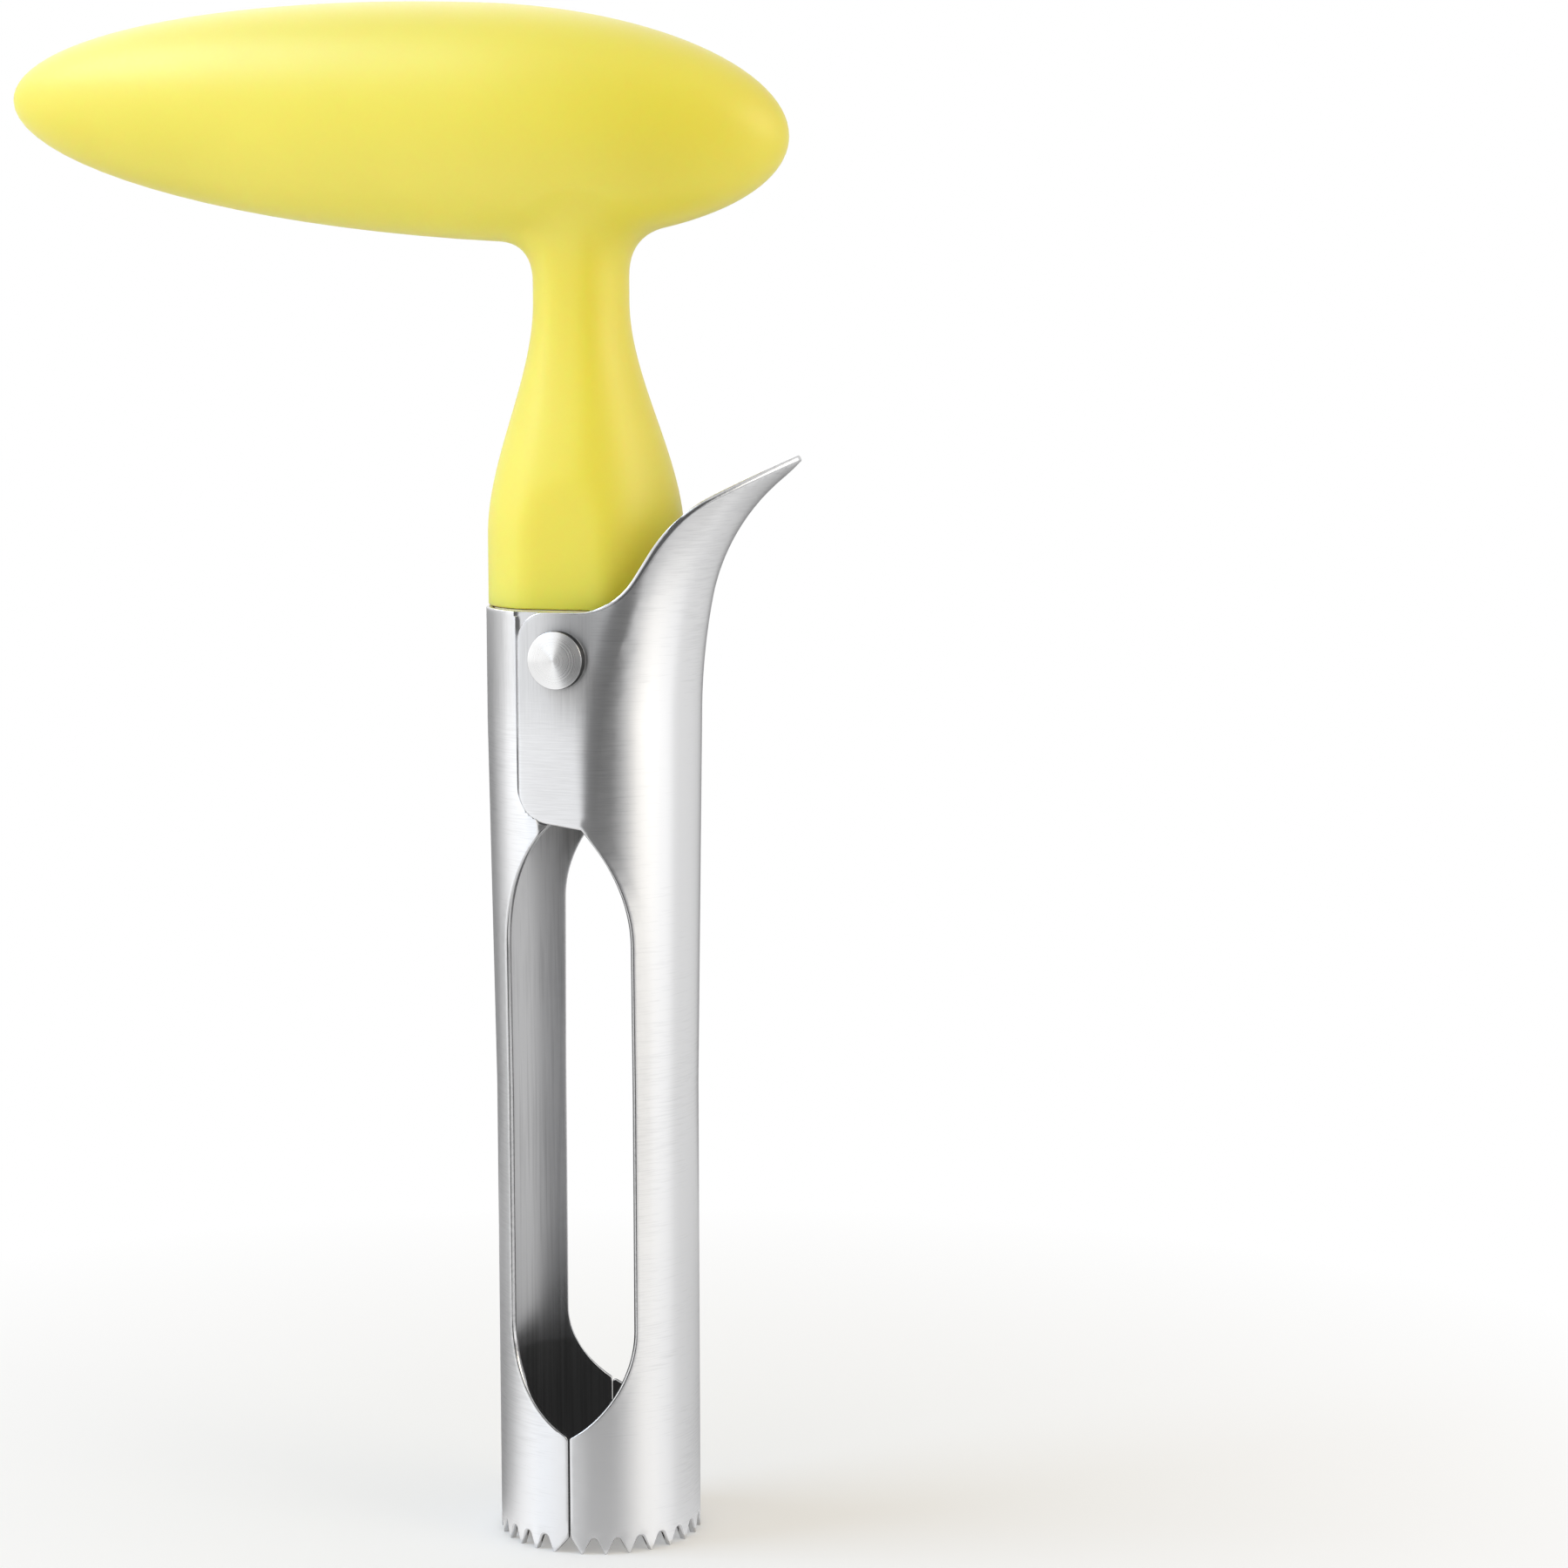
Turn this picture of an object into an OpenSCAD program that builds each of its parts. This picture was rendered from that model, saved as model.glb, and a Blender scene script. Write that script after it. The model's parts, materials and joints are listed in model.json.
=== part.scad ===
// Apple corer: a toothed steel tube, split into two halves, under a soft T-handle.
// The left half is fixed to the handle. The right half turns on a rivet and ends in a thumb lever.
// Frame: origin on the tube's axis at the tips of the teeth, +Z up, +X towards the lever,
// -Y towards the rivet's round head. Millimetres and degrees.

/* [Tube] */
// Outer diameter of the tube at the teeth
tube_d = 23; // [20:0.5:26]
// Height of the tube, from the tips of the teeth to its top edge
tube_h = 106.2; // [100:0.1:116]
// Thickness of the sheet steel
sheet_t = 0.7; // [0.5:0.05:0.9]
// How much wider the tube is at the top, where the halves lap
top_widening = 1.1; // [0.6:0.1:2]
// Height at which the tube starts to widen
widen_low = 52; // [45:1:60]
// Gap of the seam below the window
seam_gap = 0.25; // [0.15:0.05:0.5]
// Place of the front seam, right of the tube's axis
seam_front = 0.5; // [-1:0.1:1.5]
// Place of the back seam, left of the tube's axis
seam_back = 2.7; // [0:0.1:3.5]

/* [Teeth] */
// Depth of the notches between the teeth
tooth_h = 1.8; // [1.2:0.1:2.2]
// Radius at the root of a notch
root_r = 0.42; // [0.2:0.02:0.5]
// Width of the flat on the tip of a tooth
tip_w = 0.3; // [0.25:0.05:0.5]
// Number of teeth on the fixed half
fixed_teeth = 13; // [10:1:15]
// Number of teeth on the lever half
lever_teeth = 14; // [11:1:16]
// Angle from the fixed half's end teeth to the seam
fixed_margin = 9; // [6:0.5:10]

/* [Window] */
// Width of the window in front and at the back
window_w = 14.9; // [12:0.1:16]
// Height at which the lower arch starts
window_low = 24; // [20:0.5:30]
// Height at which the upper arch starts
window_high = 71; // [66:0.5:72]
// Radius of the lower arch's two arcs
low_arch_r = 10.7; // [9:0.1:13]
// Radius of the upper arch's two arcs
high_arch_r = 14; // [11:0.1:14.5]

/* [Lap joint] */
// Height of the tabs that lap over the fixed half, down from the top edge
tab_h = 23.8; // [22:0.1:25]
// Reach of the tabs past the rivet
tab_reach = 4.8; // [4.2:0.1:5.1]
// Radius of the tabs' two free corners
tab_r = 3.3; // [2:0.1:4]
// Depth of the lever half's flats, in from the tube's round
flat_cut = 0.6; // [0.5:0.05:0.8]
// Gap between the tabs and the fixed half's ears
lap_gap = 0.1; // [0.08:0.02:0.2]
// Radius of the fixed half's ears about the rivet
ear_r = 4.2; // [3.4:0.1:4.4]

/* [Lever] */
// Angle that the lever opens the tube by
open_a = 15; // [8:1:16]
// Distance below the top edge at which the lever's wall starts to flare
flare_drop = 12.7; // [12:0.1:14]
// Radius of the flare's first bend
bend_r = 72; // [64:1:80]
// Angle of the flare's first bend
bend_a = 10.8; // [9:0.1:12]
// Radius of the flare's second bend, up to the tip
tip_bend_r = 23; // [21:0.5:26]
// Reach of the lever's tip, out from the tube's top
tip_out = 12.75; // [11.5:0.05:13.5]
// Slope of the lever's cut edge above the tube
edge_a = 56; // [54:1:58]
// Slope of the cut edge at the tip
tip_edge_a = 29; // [28:0.5:29]
// Place on the top edge where the cut edge would start with a sharp corner
edge_x = 6.4; // [6.2:0.05:6.6]
// Height above the top edge at which the two slopes would meet in a sharp corner
edge_rise = 10.15; // [9.8:0.05:10.4]
// Radius of the hollow corner between the top edge and the lever
scoop_r = 7.8; // [6:0.1:8.5]
// Radius of the crest between the two slopes
crest_r = 20.8; // [16:0.1:22]
// Radius of the tip's corner
tip_r = 0.6; // [0.3:0.1:0.8]

/* [Rivet] */
// Distance of the rivet below the top edge
pivot_drop = 5.2; // [4.8:0.1:5.8]
// Diameter of the shank
shank_d = 4; // [3.4:0.1:4.6]
// Diameter of the two heads
head_d = 6.4; // [5.8:0.1:7]
// Height of a head's crown
head_h = 1.15; // [0.9:0.05:1.4]
// Height of a head's straight rim
rim_h = 0.5; // [0.3:0.05:0.7]
// Diameter of the cap's pin inside the shank
pin_d = 2.4; // [2:0.1:2.6]
// Radial play of the turning half on the shank
running_fit = 0.05; // [0.03:0.01:0.1]
// Radial play of the fixed pieces on the shank
seat_fit = 0.02; // [0.01:0.01:0.03]

/* [Spring] */
// Diameter of the wire
wire_d = 0.9; // [0.7:0.05:1]
// Mean diameter of the coil
coil_d = 5.8; // [5.6:0.1:6.2]
// Distance from turn to turn
coil_pitch = 1.45; // [1.4:0.05:1.6]
// Number of turns, less the part that the lever's leg takes off
turns = 4; // [3:1:4]
// Height above the rivet at which the spring's leg meets the lever
leg_rise = 9; // [8:0.1:10]
// Length of the leg that rests in the handle
rest_leg = 8; // [6:0.5:9]
// Room round the coil and its legs
spring_room = 0.5; // [0.4:0.05:0.6]

/* [Handle core] */
// Depth of the plug inside the tube
plug_h = 22; // [18:0.5:23]
// Room for the lever half beside the plug, in from the tube's round
lever_room = 2.45; // [2.2:0.05:3]
// Clearance between the plug and the fixed half
plug_gap = 0.05; // [0.03:0.01:0.1]
// Radius of the spine at the foot of the stem
foot_r = 6.6; // [5.5:0.1:7]
// Radius of the spine in the neck and above
spine_r = 3.1; // [2.6:0.1:3.4]
// Radius of the rod inside the bar
rod_r = 7; // [6:0.1:8]
// Length of the rod inside the bar
rod_l = 62; // [54:1:66]
// Chamfer at the ends of the rod
rod_chamfer = 3; // [2:0.5:4]

/* [Grip] */
// Gap between the grip's foot and the tube's top edge
foot_gap = 0.1; // [0.05:0.05:0.2]
// How much narrower the stem's foot is than the tube, all on the lever's side
stem_less_w = 1.8; // [1.4:0.1:2.6]
// How much less deep the stem's foot is than the tube, without its pads
stem_less_d = 4.5; // [3.8:0.1:5.4]
// Depth of the flat pads in front and at the back
pad_cut = 1.2; // [0.8:0.1:1.5]
// Height above the tube at which the stem starts to narrow
stem_low = 7.8; // [6:0.2:10]
// Height of the neck above the tube
neck_h = 33.8; // [31:0.2:35]
// Width of the neck
neck_w = 10.8; // [9.6:0.1:12]
// Depth of the neck
neck_d = 10.2; // [9.2:0.1:11.4]
// Place of the neck, left of the tube's axis
neck_x = 1.25; // [0.8:0.05:1.6]
// Radius of the blend between the neck and the bar
blend_r = 4.6; // [3.6:0.1:5]
// Length of the bar's long end, from its thickest place
bar_long = 59.3; // [54:0.1:66]
// Length of the bar's short end, from its thickest place
bar_short = 34.8; // [32:0.1:38]
// Height of the bar
bar_h = 26.2; // [24:0.1:28]
// Depth of the bar
bar_d = 24; // [23:0.1:28]
// Place of the bar's thickest part, left of the tube's axis
bar_x = 11.9; // [9:0.1:15]
// Height of the bar's middle above the tube, at its thickest place
bar_rise = 53.6; // [52:0.1:56]
// Lean of the bar, down towards the lever
bar_lean = 3.27; // [2.5:0.01:4]

/* [Hidden] */
$fn = 64;

steel = "#b9bcbe";
rivet_steel = "#cfd1d3";
spring_steel = "#8f9396";
grip_yellow = "#efe15f";
core_white = "#e9e6d8";

// Overshoot of a cut past the face that it opens, and reach of a cut past the whole part
over = 1;
far = 60;

tube_r = tube_d / 2;
top_d = tube_d + top_widening;
top_r = top_d / 2;
flare_z = tube_h - flare_drop;
pivot_z = tube_h - pivot_drop;
tab_z = tube_h - tab_h;
split_z = (window_low + window_high) / 2;

// Half distance between the outer faces of the flats, where the rivet's heads sit
flat_y = top_r - flat_cut;
// How far the ears lie inside the tabs
ear_inset = sheet_t + lap_gap;
// The fixed half steps out to the full round below the tabs, with this gap under them
step_gap = 0.6;
step_z = tab_z - step_gap;
step_rise = 3;

// Outline helpers

// Points of an arc about a centre, from its first point or the one after
function arc_points(centre, r, from, to, steps, first = 0) =
    [for (i = [first:steps]) let (a = from + (to - from) * i / steps) centre + r * [cos(a), sin(a)]];
// Slope of the way from one point to the next
function slope(from, to) = atan2(to.y - from.y, to.x - from.x);
// Points of a rounded corner at b, on the way from a through b to c
function rounded(a, b, c, r, steps = 8) =
    let (
        way_in = slope(a, b),
        turn = (slope(b, c) - way_in + 540) % 360 - 180,
        side = turn > 0 ? 1 : -1,
        back = r * tan(abs(turn) / 2),
        start = b - back * [cos(way_in), sin(way_in)],
        centre = start + r * side * [-sin(way_in), cos(way_in)]
    )
    arc_points(centre, r, way_in - side * 90, way_in - side * 90 + turn, steps);

// A front outline in X and Z, cut right through from front to back
module through() {
    rotate([90, 0, 0]) linear_extrude(2 * far, center = true) children();
}

// A side outline in Y and Z, cut right through from left to right
module sideways() {
    rotate([90, 0, 90]) linear_extrude(2 * far, center = true) children();
}

// Tube

// A solid of revolution inside a line of radii and heights
module revolved(line) {
    top = line[len(line) - 1];
    rotate_extrude() polygon(concat([[0, line[0].y]], line, [[0, top.y]]));
}

// The straight part of the tube's wall line, with a wall's inset
function straight_line(inset) =
    let (r = tube_r - inset) [[r, inset > 0 ? -over : 0], [r, widen_low]];

// The room between the flats
module flat_slab(inset) {
    translate([-far, inset - flat_y, -far]) cube([2 * far, 2 * (flat_y - inset), tube_h + 2 * far]);
}

// The room between the fixed half's ears, which opens to the full round below the tabs
module ear_slab(inset) {
    top_z = tube_h + far;
    ear = flat_y - inset;
    wide = ear + step_rise;
    sideways() polygon([
        [-wide, -far], [wide, -far], [wide, step_z - step_rise], [ear, step_z],
        [ear, top_z], [-ear, top_z], [-ear, step_z], [-wide, step_z - step_rise]
    ]);
}

// The window's outline: straight sides between two pointed arches
module window_side() {
    half_w = window_w / 2;
    translate([half_w - low_arch_r, window_low]) circle(low_arch_r);
    translate([half_w - high_arch_r, window_high]) circle(high_arch_r);
    translate([-half_w, window_low]) square([window_w, window_high - window_low]);
}
module window_outline() {
    intersection() {
        window_side();
        mirror([1, 0]) window_side();
    }
}

// One side of the seam, below the window: side is -1 for the fixed half and 1 for the lever half
module seam_side(side) {
    shift = side * seam_gap / 2;
    run = (seam_front + seam_back) / tube_d;
    front_x = seam_front + run * (far - tube_r) + shift;
    back_x = -seam_back - run * (far - tube_r) + shift;
    translate([0, 0, -over]) linear_extrude(split_z + over)
        polygon([[front_x, -far], [side * far, -far], [side * far, far], [back_x, far]]);
}

// Teeth

// A notch between two teeth: straight flanks and a round root
module notch_outline(half_w) {
    flank = tooth_h - root_r;
    ratio = (root_r / half_w) ^ 2;
    apex = (flank + sqrt(flank ^ 2 - (1 - ratio) * (flank ^ 2 - root_r ^ 2))) / (1 - ratio);
    flank_a = atan(half_w / apex);
    root = [0, apex - root_r / sin(flank_a)];
    drop = over * tan(flank_a);
    polygon(concat(
        [[-half_w - drop, -over], [half_w + drop, -over]],
        arc_points(root, root_r, flank_a, 180 - flank_a, 6)
    ));
}

// A notch at an angle from the front towards the lever, between teeth half_a to each side of it
module notch(angle, half_a) {
    rotate([0, 0, angle]) translate([0, -tube_r, 0]) rotate([90, 0, 0])
        linear_extrude(4 * sheet_t, center = true) notch_outline(tube_r * sin(half_a) - tip_w / 2);
}

// The notches of one half, between two seams, with the end teeth a margin away from them
module notches(from, to, count, margin) {
    pitch = (to - from - 2 * margin) / (count - 1);
    notch(from, margin);
    notch(to, margin);
    for (i = [0:count - 2]) notch(from + margin + pitch * (i + 0.5), pitch / 2);
}

// Angle of the seams from the front, towards the lever
front_a = asin(seam_front / tube_r);
back_a = 180 + asin(seam_back / tube_r);
lever_pitch = (back_a - front_a) / lever_teeth;

// Lap joint and halves

module pivot_bore(d) {
    translate([0, 0, pivot_z]) rotate([90, 0, 0]) cylinder(d = d, h = 2 * far, center = true);
}

// The fixed half's front outline above the seam: the left side, with ears about the rivet
module fixed_outline() {
    translate([-far, split_z]) square([far, tube_h - split_z]);
    translate([0, pivot_z]) circle(ear_r);
}

// The fixed half's form, with a wall's inset
module fixed_form(inset) {
    top_z = inset > 0 ? tube_h + over : tube_h;
    intersection() {
        revolved(concat(straight_line(inset), [[top_r - inset, flare_z], [top_r - inset, top_z]]));
        ear_slab(ear_inset + inset);
    }
}

module fixed_half() {
    color(steel) difference() {
        intersection() {
            difference() {
                fixed_form(0);
                fixed_form(sheet_t);
            }
            union() {
                seam_side(-1);
                through() fixed_outline();
            }
        }
        through() window_outline();
        pivot_bore(shank_d + 2 * seat_fit);
        notches(back_a - 360, front_a, fixed_teeth, fixed_margin);
    }
}

// Lever

// The centres of the flare's two bends, in radius and height, and the wall's place between them
bend_1 = [top_r + bend_r, flare_z];
bend_end = bend_1 + bend_r * [-cos(bend_a), sin(bend_a)];
bend_2 = bend_end + tip_bend_r * [cos(bend_a), -sin(bend_a)];
tip_reach = top_r + tip_out;
// Angle of the flare past its tip, with some to spare beyond the cut
spare_a = 6;
tip_a = acos((bend_2.x - tip_reach) / tip_bend_r) + spare_a;
bend_steps = 4;
tip_steps = 14;

// Slopes of the lever's cut edge, from sharp corner to sharp corner
edge_start = [edge_x, tube_h];
edge_crest = edge_start + edge_rise * [1 / tan(edge_a), 1];
edge_tip = [tip_reach, edge_crest.y + (tip_reach - edge_crest.x) * tan(tip_edge_a)];

// The lever half's form, with a wall's inset: the tube, flared at the top and flat in front and behind
module lever_form(inset) {
    bend = arc_points(bend_1, bend_r + inset, 180, 180 - bend_a, bend_steps);
    tip = arc_points(bend_2, tip_bend_r + inset, 180 - bend_a, 180 - tip_a, tip_steps, 1);
    intersection() {
        revolved(concat(straight_line(inset), bend, tip));
        flat_slab(inset);
    }
}

// The lever half's front outline above the seam: tab, side wall and lever
module lever_outline() {
    corner = [-tab_reach, tab_z];
    right = [far, tab_z];
    top_corner = [-tab_reach, tube_h];
    polygon(concat(
        [right],
        rounded(right, corner, top_corner, tab_r),
        rounded(corner, top_corner, edge_start, tab_r),
        rounded(top_corner, edge_start, edge_crest, scoop_r),
        rounded(edge_start, edge_crest, edge_tip, crest_r, 12),
        rounded(edge_crest, edge_tip, [tip_reach, tube_h], tip_r),
        [[tip_reach, tube_h], [far, tube_h]]
    ));
    translate([0, split_z]) square([far, tab_z - split_z + over]);
}

// The lever half's sheet: the flared tube right of the rivet, and flat tabs left of it
module lever_sheet() {
    intersection() {
        difference() {
            lever_form(0);
            lever_form(sheet_t);
        }
        union() {
            translate([0, -far, split_z]) cube([far, 2 * far, tube_h]);
            translate([-far, -far, -over]) cube([2 * far, 2 * far, split_z + over]);
        }
    }
    for (y = [-flat_y, flat_y - sheet_t])
        translate([-tab_reach, y, tab_z]) cube([tab_reach + over, sheet_t, tab_h]);
}

module lever_half() {
    color(steel) difference() {
        intersection() {
            lever_sheet();
            union() {
                seam_side(1);
                through() lever_outline();
            }
        }
        through() intersection() {
            window_outline();
            translate([-far, 0]) square([2 * far, tab_z]);
        }
        pivot_bore(shank_d + 2 * running_fit);
        notches(front_a, back_a, lever_teeth, lever_pitch / 2);
    }
}

// Rivet

// A rivet head on the axis, seated at z = 0 and crowned upwards: low rim, bevel and shallow cone
module rivet_head() {
    head_r = head_d / 2;
    bevel = rim_h / 4;
    nose_r = head_r / 4;
    rotate_extrude() polygon([
        [0, 0], [head_r - bevel, 0], [head_r, bevel], [head_r, rim_h], [head_r - bevel, rim_h + bevel],
        [nose_r, head_h - bevel / 2], [0, head_h]
    ]);
}

// The front head with its shank, which is hollow at the back end for the cap's pin
module pivot_rivet() {
    pin_l = flat_y;
    color(rivet_steel) translate([0, 0, pivot_z]) difference() {
        union() {
            translate([0, -flat_y, 0]) rotate([90, 0, 0]) rivet_head();
            rotate([90, 0, 0]) cylinder(d = shank_d, h = 2 * flat_y, center = true);
        }
        translate([0, flat_y - pin_l, 0]) rotate([-90, 0, 0])
            cylinder(d = pin_d + 2 * seat_fit, h = pin_l + over);
    }
}

// The back head, with the pin that is pressed into the shank
module rivet_cap() {
    pin_l = flat_y - over;
    color(rivet_steel) translate([0, flat_y, pivot_z]) {
        rotate([-90, 0, 0]) rivet_head();
        rotate([90, 0, 0]) cylinder(d = pin_d, h = pin_l);
    }
}

// Spring

coil_r = coil_d / 2;
// Inner face of the lever's wall at a height, and the end of the leg just inside it, from the rivet
function lever_inner(z) =
    z < bend_end.y ? bend_1.x - sqrt((bend_r + sheet_t) ^ 2 - (z - bend_1.y) ^ 2)
    : bend_2.x - sqrt((tip_bend_r + sheet_t) ^ 2 - (z - bend_2.y) ^ 2);
leg_gap = 0.1;
leg_y = (turns * coil_pitch + wire_d) / 2;
leg_wall = sqrt(lever_inner(pivot_z + leg_rise - wire_d / 2) ^ 2 - leg_y ^ 2);
leg_tip = [leg_wall - wire_d / 2 - leg_gap, leg_rise];
// The leg leaves the coil in line with the wire
leave_a = atan2(leg_tip.y, leg_tip.x) - acos(coil_r / norm(leg_tip));
leg_a = leave_a + 90;
leg_l = sqrt(norm(leg_tip) ^ 2 - coil_r ^ 2);
last_a = 360 * turns + leave_a;
coil_half = last_a / 360 * coil_pitch / 2;
rings_per_turn = 8;
tube_sides = 6;

// Points of the wire's middle line about the rivet: rest leg, coil and lever leg
coil_rings = rings_per_turn * turns - 1;
function coil_point(a) = [coil_r * cos(a), -coil_half + 2 * coil_half * a / last_a, coil_r * sin(a)];
wire_line = concat(
    [[coil_r, -coil_half, -rest_leg], [coil_r, -coil_half, -wire_d]],
    [for (i = [0:coil_rings]) coil_point(last_a * i / coil_rings)],
    [coil_point(last_a) + leg_l * [cos(leg_a), 0, sin(leg_a)]]
);

// Direction of the middle line at a point, and the two directions across it
function unit(v) = v / norm(v);
function along(line, i) = unit(line[min(i + 1, len(line) - 1)] - line[max(i - 1, 0)]);
function across(way) = unit(cross(way, [0, 1, 0]));
function ring(line, i, d) =
    let (way = along(line, i), u = across(way), v = cross(way, u))
    [for (k = [0:tube_sides - 1])
        let (a = 360 * k / tube_sides)
        line[i] + d / 2 * (cos(a) * u + sin(a) * v)];

// One unbroken tube along a line of points
module wire_tube(line, d) {
    n = tube_sides;
    last = (len(line) - 1) * n;
    points = [for (i = [0:len(line) - 1]) each ring(line, i, d)];
    sides = [
        for (i = [0:len(line) - 2]) for (k = [0:n - 1])
            let (a = i * n + k, b = i * n + (k + 1) % n)
            each [[a, b, a + n], [b, b + n, a + n]]
    ];
    ends = [for (k = [1:n - 2]) each [[0, k + 1, k], [last, last + k, last + k + 1]]];
    polyhedron(points, concat(sides, ends));
}

// Least gap of the wire to itself, between points more than half a turn apart
wire_gaps = [
    for (i = [0:len(wire_line) - 1]) for (j = [i + 1:len(wire_line) - 1])
        if (j - i > rings_per_turn / 2) norm(wire_line[i] - wire_line[j]) - wire_d
];
echo(least_spring_gap = min(wire_gaps));

module return_spring() {
    color(spring_steel) translate([0, 0, pivot_z]) wire_tube(wire_line, wire_d);
}

// Room for the coil and its two legs, and for the swing of the lever's leg
module spring_room_form() {
    pocket_r = coil_r + wire_d / 2 + spring_room;
    pocket_half = coil_half + wire_d / 2 + spring_room;
    slot = wire_d + 2 * spring_room;
    swing = leg_l * sin(open_a);
    translate([0, 0, pivot_z]) {
        rotate([90, 0, 0]) cylinder(r = pocket_r, h = 2 * pocket_half, center = true);
        translate([0, -pocket_half, -pocket_r]) cube([far, 2 * pocket_half, 2 * pocket_r]);
        translate([coil_r - slot / 2, -coil_half - slot / 2, -rest_leg - spring_room])
            cube([slot, slot, rest_leg]);
        translate([0, coil_half - slot / 2, 0]) rotate([0, -leg_a, 0])
            translate([0, 0, -coil_r - slot / 2]) cube([far, slot, slot + swing]);
    }
}

// Handle

stem_w = top_d - stem_less_w;
stem_d = top_d - stem_less_d;
pad_y = stem_d / 2 - pad_cut;
stem_x = (stem_w - top_d) / 2;
stem_foot_z = tube_h + foot_gap;
bar_z = tube_h + bar_rise;
neck_z = tube_h + neck_h;

// The plug's plan: it fills the fixed half and stands back from the lever half
module plug_outline() {
    widened = (tube_h - plug_h - widen_low) / (flare_z - widen_low);
    fixed_r = mix(tube_r, top_r, widened) - sheet_t - plug_gap;
    intersection() {
        circle(fixed_r);
        translate([-far, -far]) square([far, 2 * far]);
    }
    circle(top_r - lever_room);
}

// The stiff spine: plug, stem and the rod inside the bar
module core_form() {
    intersection() {
        translate([0, 0, tube_h - plug_h]) linear_extrude(plug_h) plug_outline();
        flat_slab(ear_inset + sheet_t + plug_gap);
    }
    translate([stem_x, 0, tube_h - over]) cylinder(r1 = foot_r, r2 = spine_r, h = neck_h + over);
    translate([-neck_x, 0, neck_z - over]) cylinder(r = spine_r, h = bar_z - neck_z + over);
    translate([-bar_x, 0, bar_z]) rotate([0, 90 + bar_lean, 0]) rod_form();
}
module rod_form() {
    half_l = rod_l / 2;
    shift = (bar_short - bar_long) / 2;
    end_r = rod_r - rod_chamfer;
    translate([0, 0, shift]) rotate_extrude() polygon([
        [0, -half_l], [end_r, -half_l], [rod_r, rod_chamfer - half_l], [rod_r, half_l - rod_chamfer],
        [end_r, half_l], [0, half_l]
    ]);
}

module handle_core() {
    color(core_white) difference() {
        core_form();
        pivot_bore(shank_d + 2 * seat_fit);
        spring_room_form();
    }
}

// The grip's skin is one loft of rings: up the stem, round the blend, out along the bar's underside
// to its rim, and over the top to the middle.
columns = 48;
stem_rows = 13;
blend_rows = 6;
under_rows = 7;
top_rows = 8;

function mix(a, b, t) = a + (b - a) * t;
function ease(t) = let (c = min(max(t, 0), 1)) c * c * (3 - 2 * c);
// How far the stem has narrowed at a height, from 0 at the foot to 1 at the neck
function narrowed(z) = ease((z - tube_h - stem_low) / (neck_h - stem_low));
// Plan point of the stem at a column's angle and a height, with flat pads in front and at the back
function stem_point(a, z) =
    let (
        t = narrowed(z),
        deep = mix(stem_d, neck_d, t) / 2 * sin(a),
        x = mix(stem_x, -neck_x, t) + mix(stem_w, neck_w, t) / 2 * cos(a)
    )
    [x, min(max(deep, -pad_y), pad_y)];
function bar_reach(dx) = dx < 0 ? bar_long : bar_short;
function rim_point(a) = [-bar_x + bar_reach(cos(a)) * cos(a), bar_d / 2 * sin(a)];
// Height of the bar's skin over a plan point, below (-1) or above (1) its middle
function bar_skin(p, side) =
    let (dx = p.x + bar_x, rest = 1 - (dx / bar_reach(dx)) ^ 2 - (2 * p.y / bar_d) ^ 2)
    bar_z - dx * tan(bar_lean) + side * bar_h / 2 * sqrt(max(rest, 0));
function at(p, z) = [p.x, p.y, z];
// A column of the skin, from the foot to the last ring below the top's middle
function column(a) =
    let (
        neck = stem_point(a, neck_z),
        rim = rim_point(a),
        corner = at(neck, bar_skin(neck, -1)),
        blend_z = corner.z - blend_r,
        blend_share = blend_r / norm(rim - neck),
        out = mix(neck, rim, blend_share),
        blend_end = at(out, bar_skin(out, -1)),
        blend_start = at(neck, blend_z),
        first_b = asin(blend_share)
    )
    concat(
        [for (i = [0:stem_rows - 1]) let (z = mix(stem_foot_z, blend_z, i / stem_rows))
            at(stem_point(a, z), z)],
        [for (i = [0:blend_rows]) let (t = i / blend_rows)
            mix(mix(blend_start, corner, t), mix(corner, blend_end, t), t)],
        [for (i = [1:under_rows]) let (p = mix(neck, rim, sin(mix(first_b, 90, i / under_rows))))
            at(p, bar_skin(p, -1))],
        [for (i = [1:top_rows - 1]) let (p = mix([-bar_x, 0], rim, cos(90 * i / top_rows)))
            at(p, bar_skin(p, 1))]
    );

module grip_form() {
    skin = [for (k = [0:columns - 1]) each column(360 * k / columns)];
    rows = len(skin) / columns;
    foot = len(skin);
    top = foot + 1;
    points = concat(skin, [[stem_x, 0, stem_foot_z], [-bar_x, 0, bar_z + bar_h / 2]]);
    sides = [
        for (k = [0:columns - 1]) for (i = [0:rows - 2])
            let (a = k * rows + i, b = (k + 1) % columns * rows + i)
            each [[a, a + 1, b], [b, a + 1, b + 1]]
    ];
    caps = [
        for (k = [0:columns - 1])
            let (a = k * rows, b = (k + 1) % columns * rows)
            each [[foot, a, b], [top, b + rows - 1, a + rows - 1]]
    ];
    polyhedron(points, concat(sides, caps));
}

module handle_grip() {
    color(grip_yellow) difference() {
        grip_form();
        core_form();
        spring_room_form();
    }
}

handle_core();
handle_grip();
fixed_half();
lever_half();
pivot_rivet();
rivet_cap();
return_spring();
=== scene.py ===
"""Apple corer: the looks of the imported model, built in the frame of its CAD solids.

Lengths are in millimetres and angles in degrees until a mesh is made.
+X points to the thumb lever, -Y to the front and +Z up; z = 0 is at the tips of the teeth.
"""
import json
import math

import bmesh
import bpy
import numpy as np
from mathutils import Matrix, Vector
from mathutils.geometry import delaunay_2d_cdt


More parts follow.
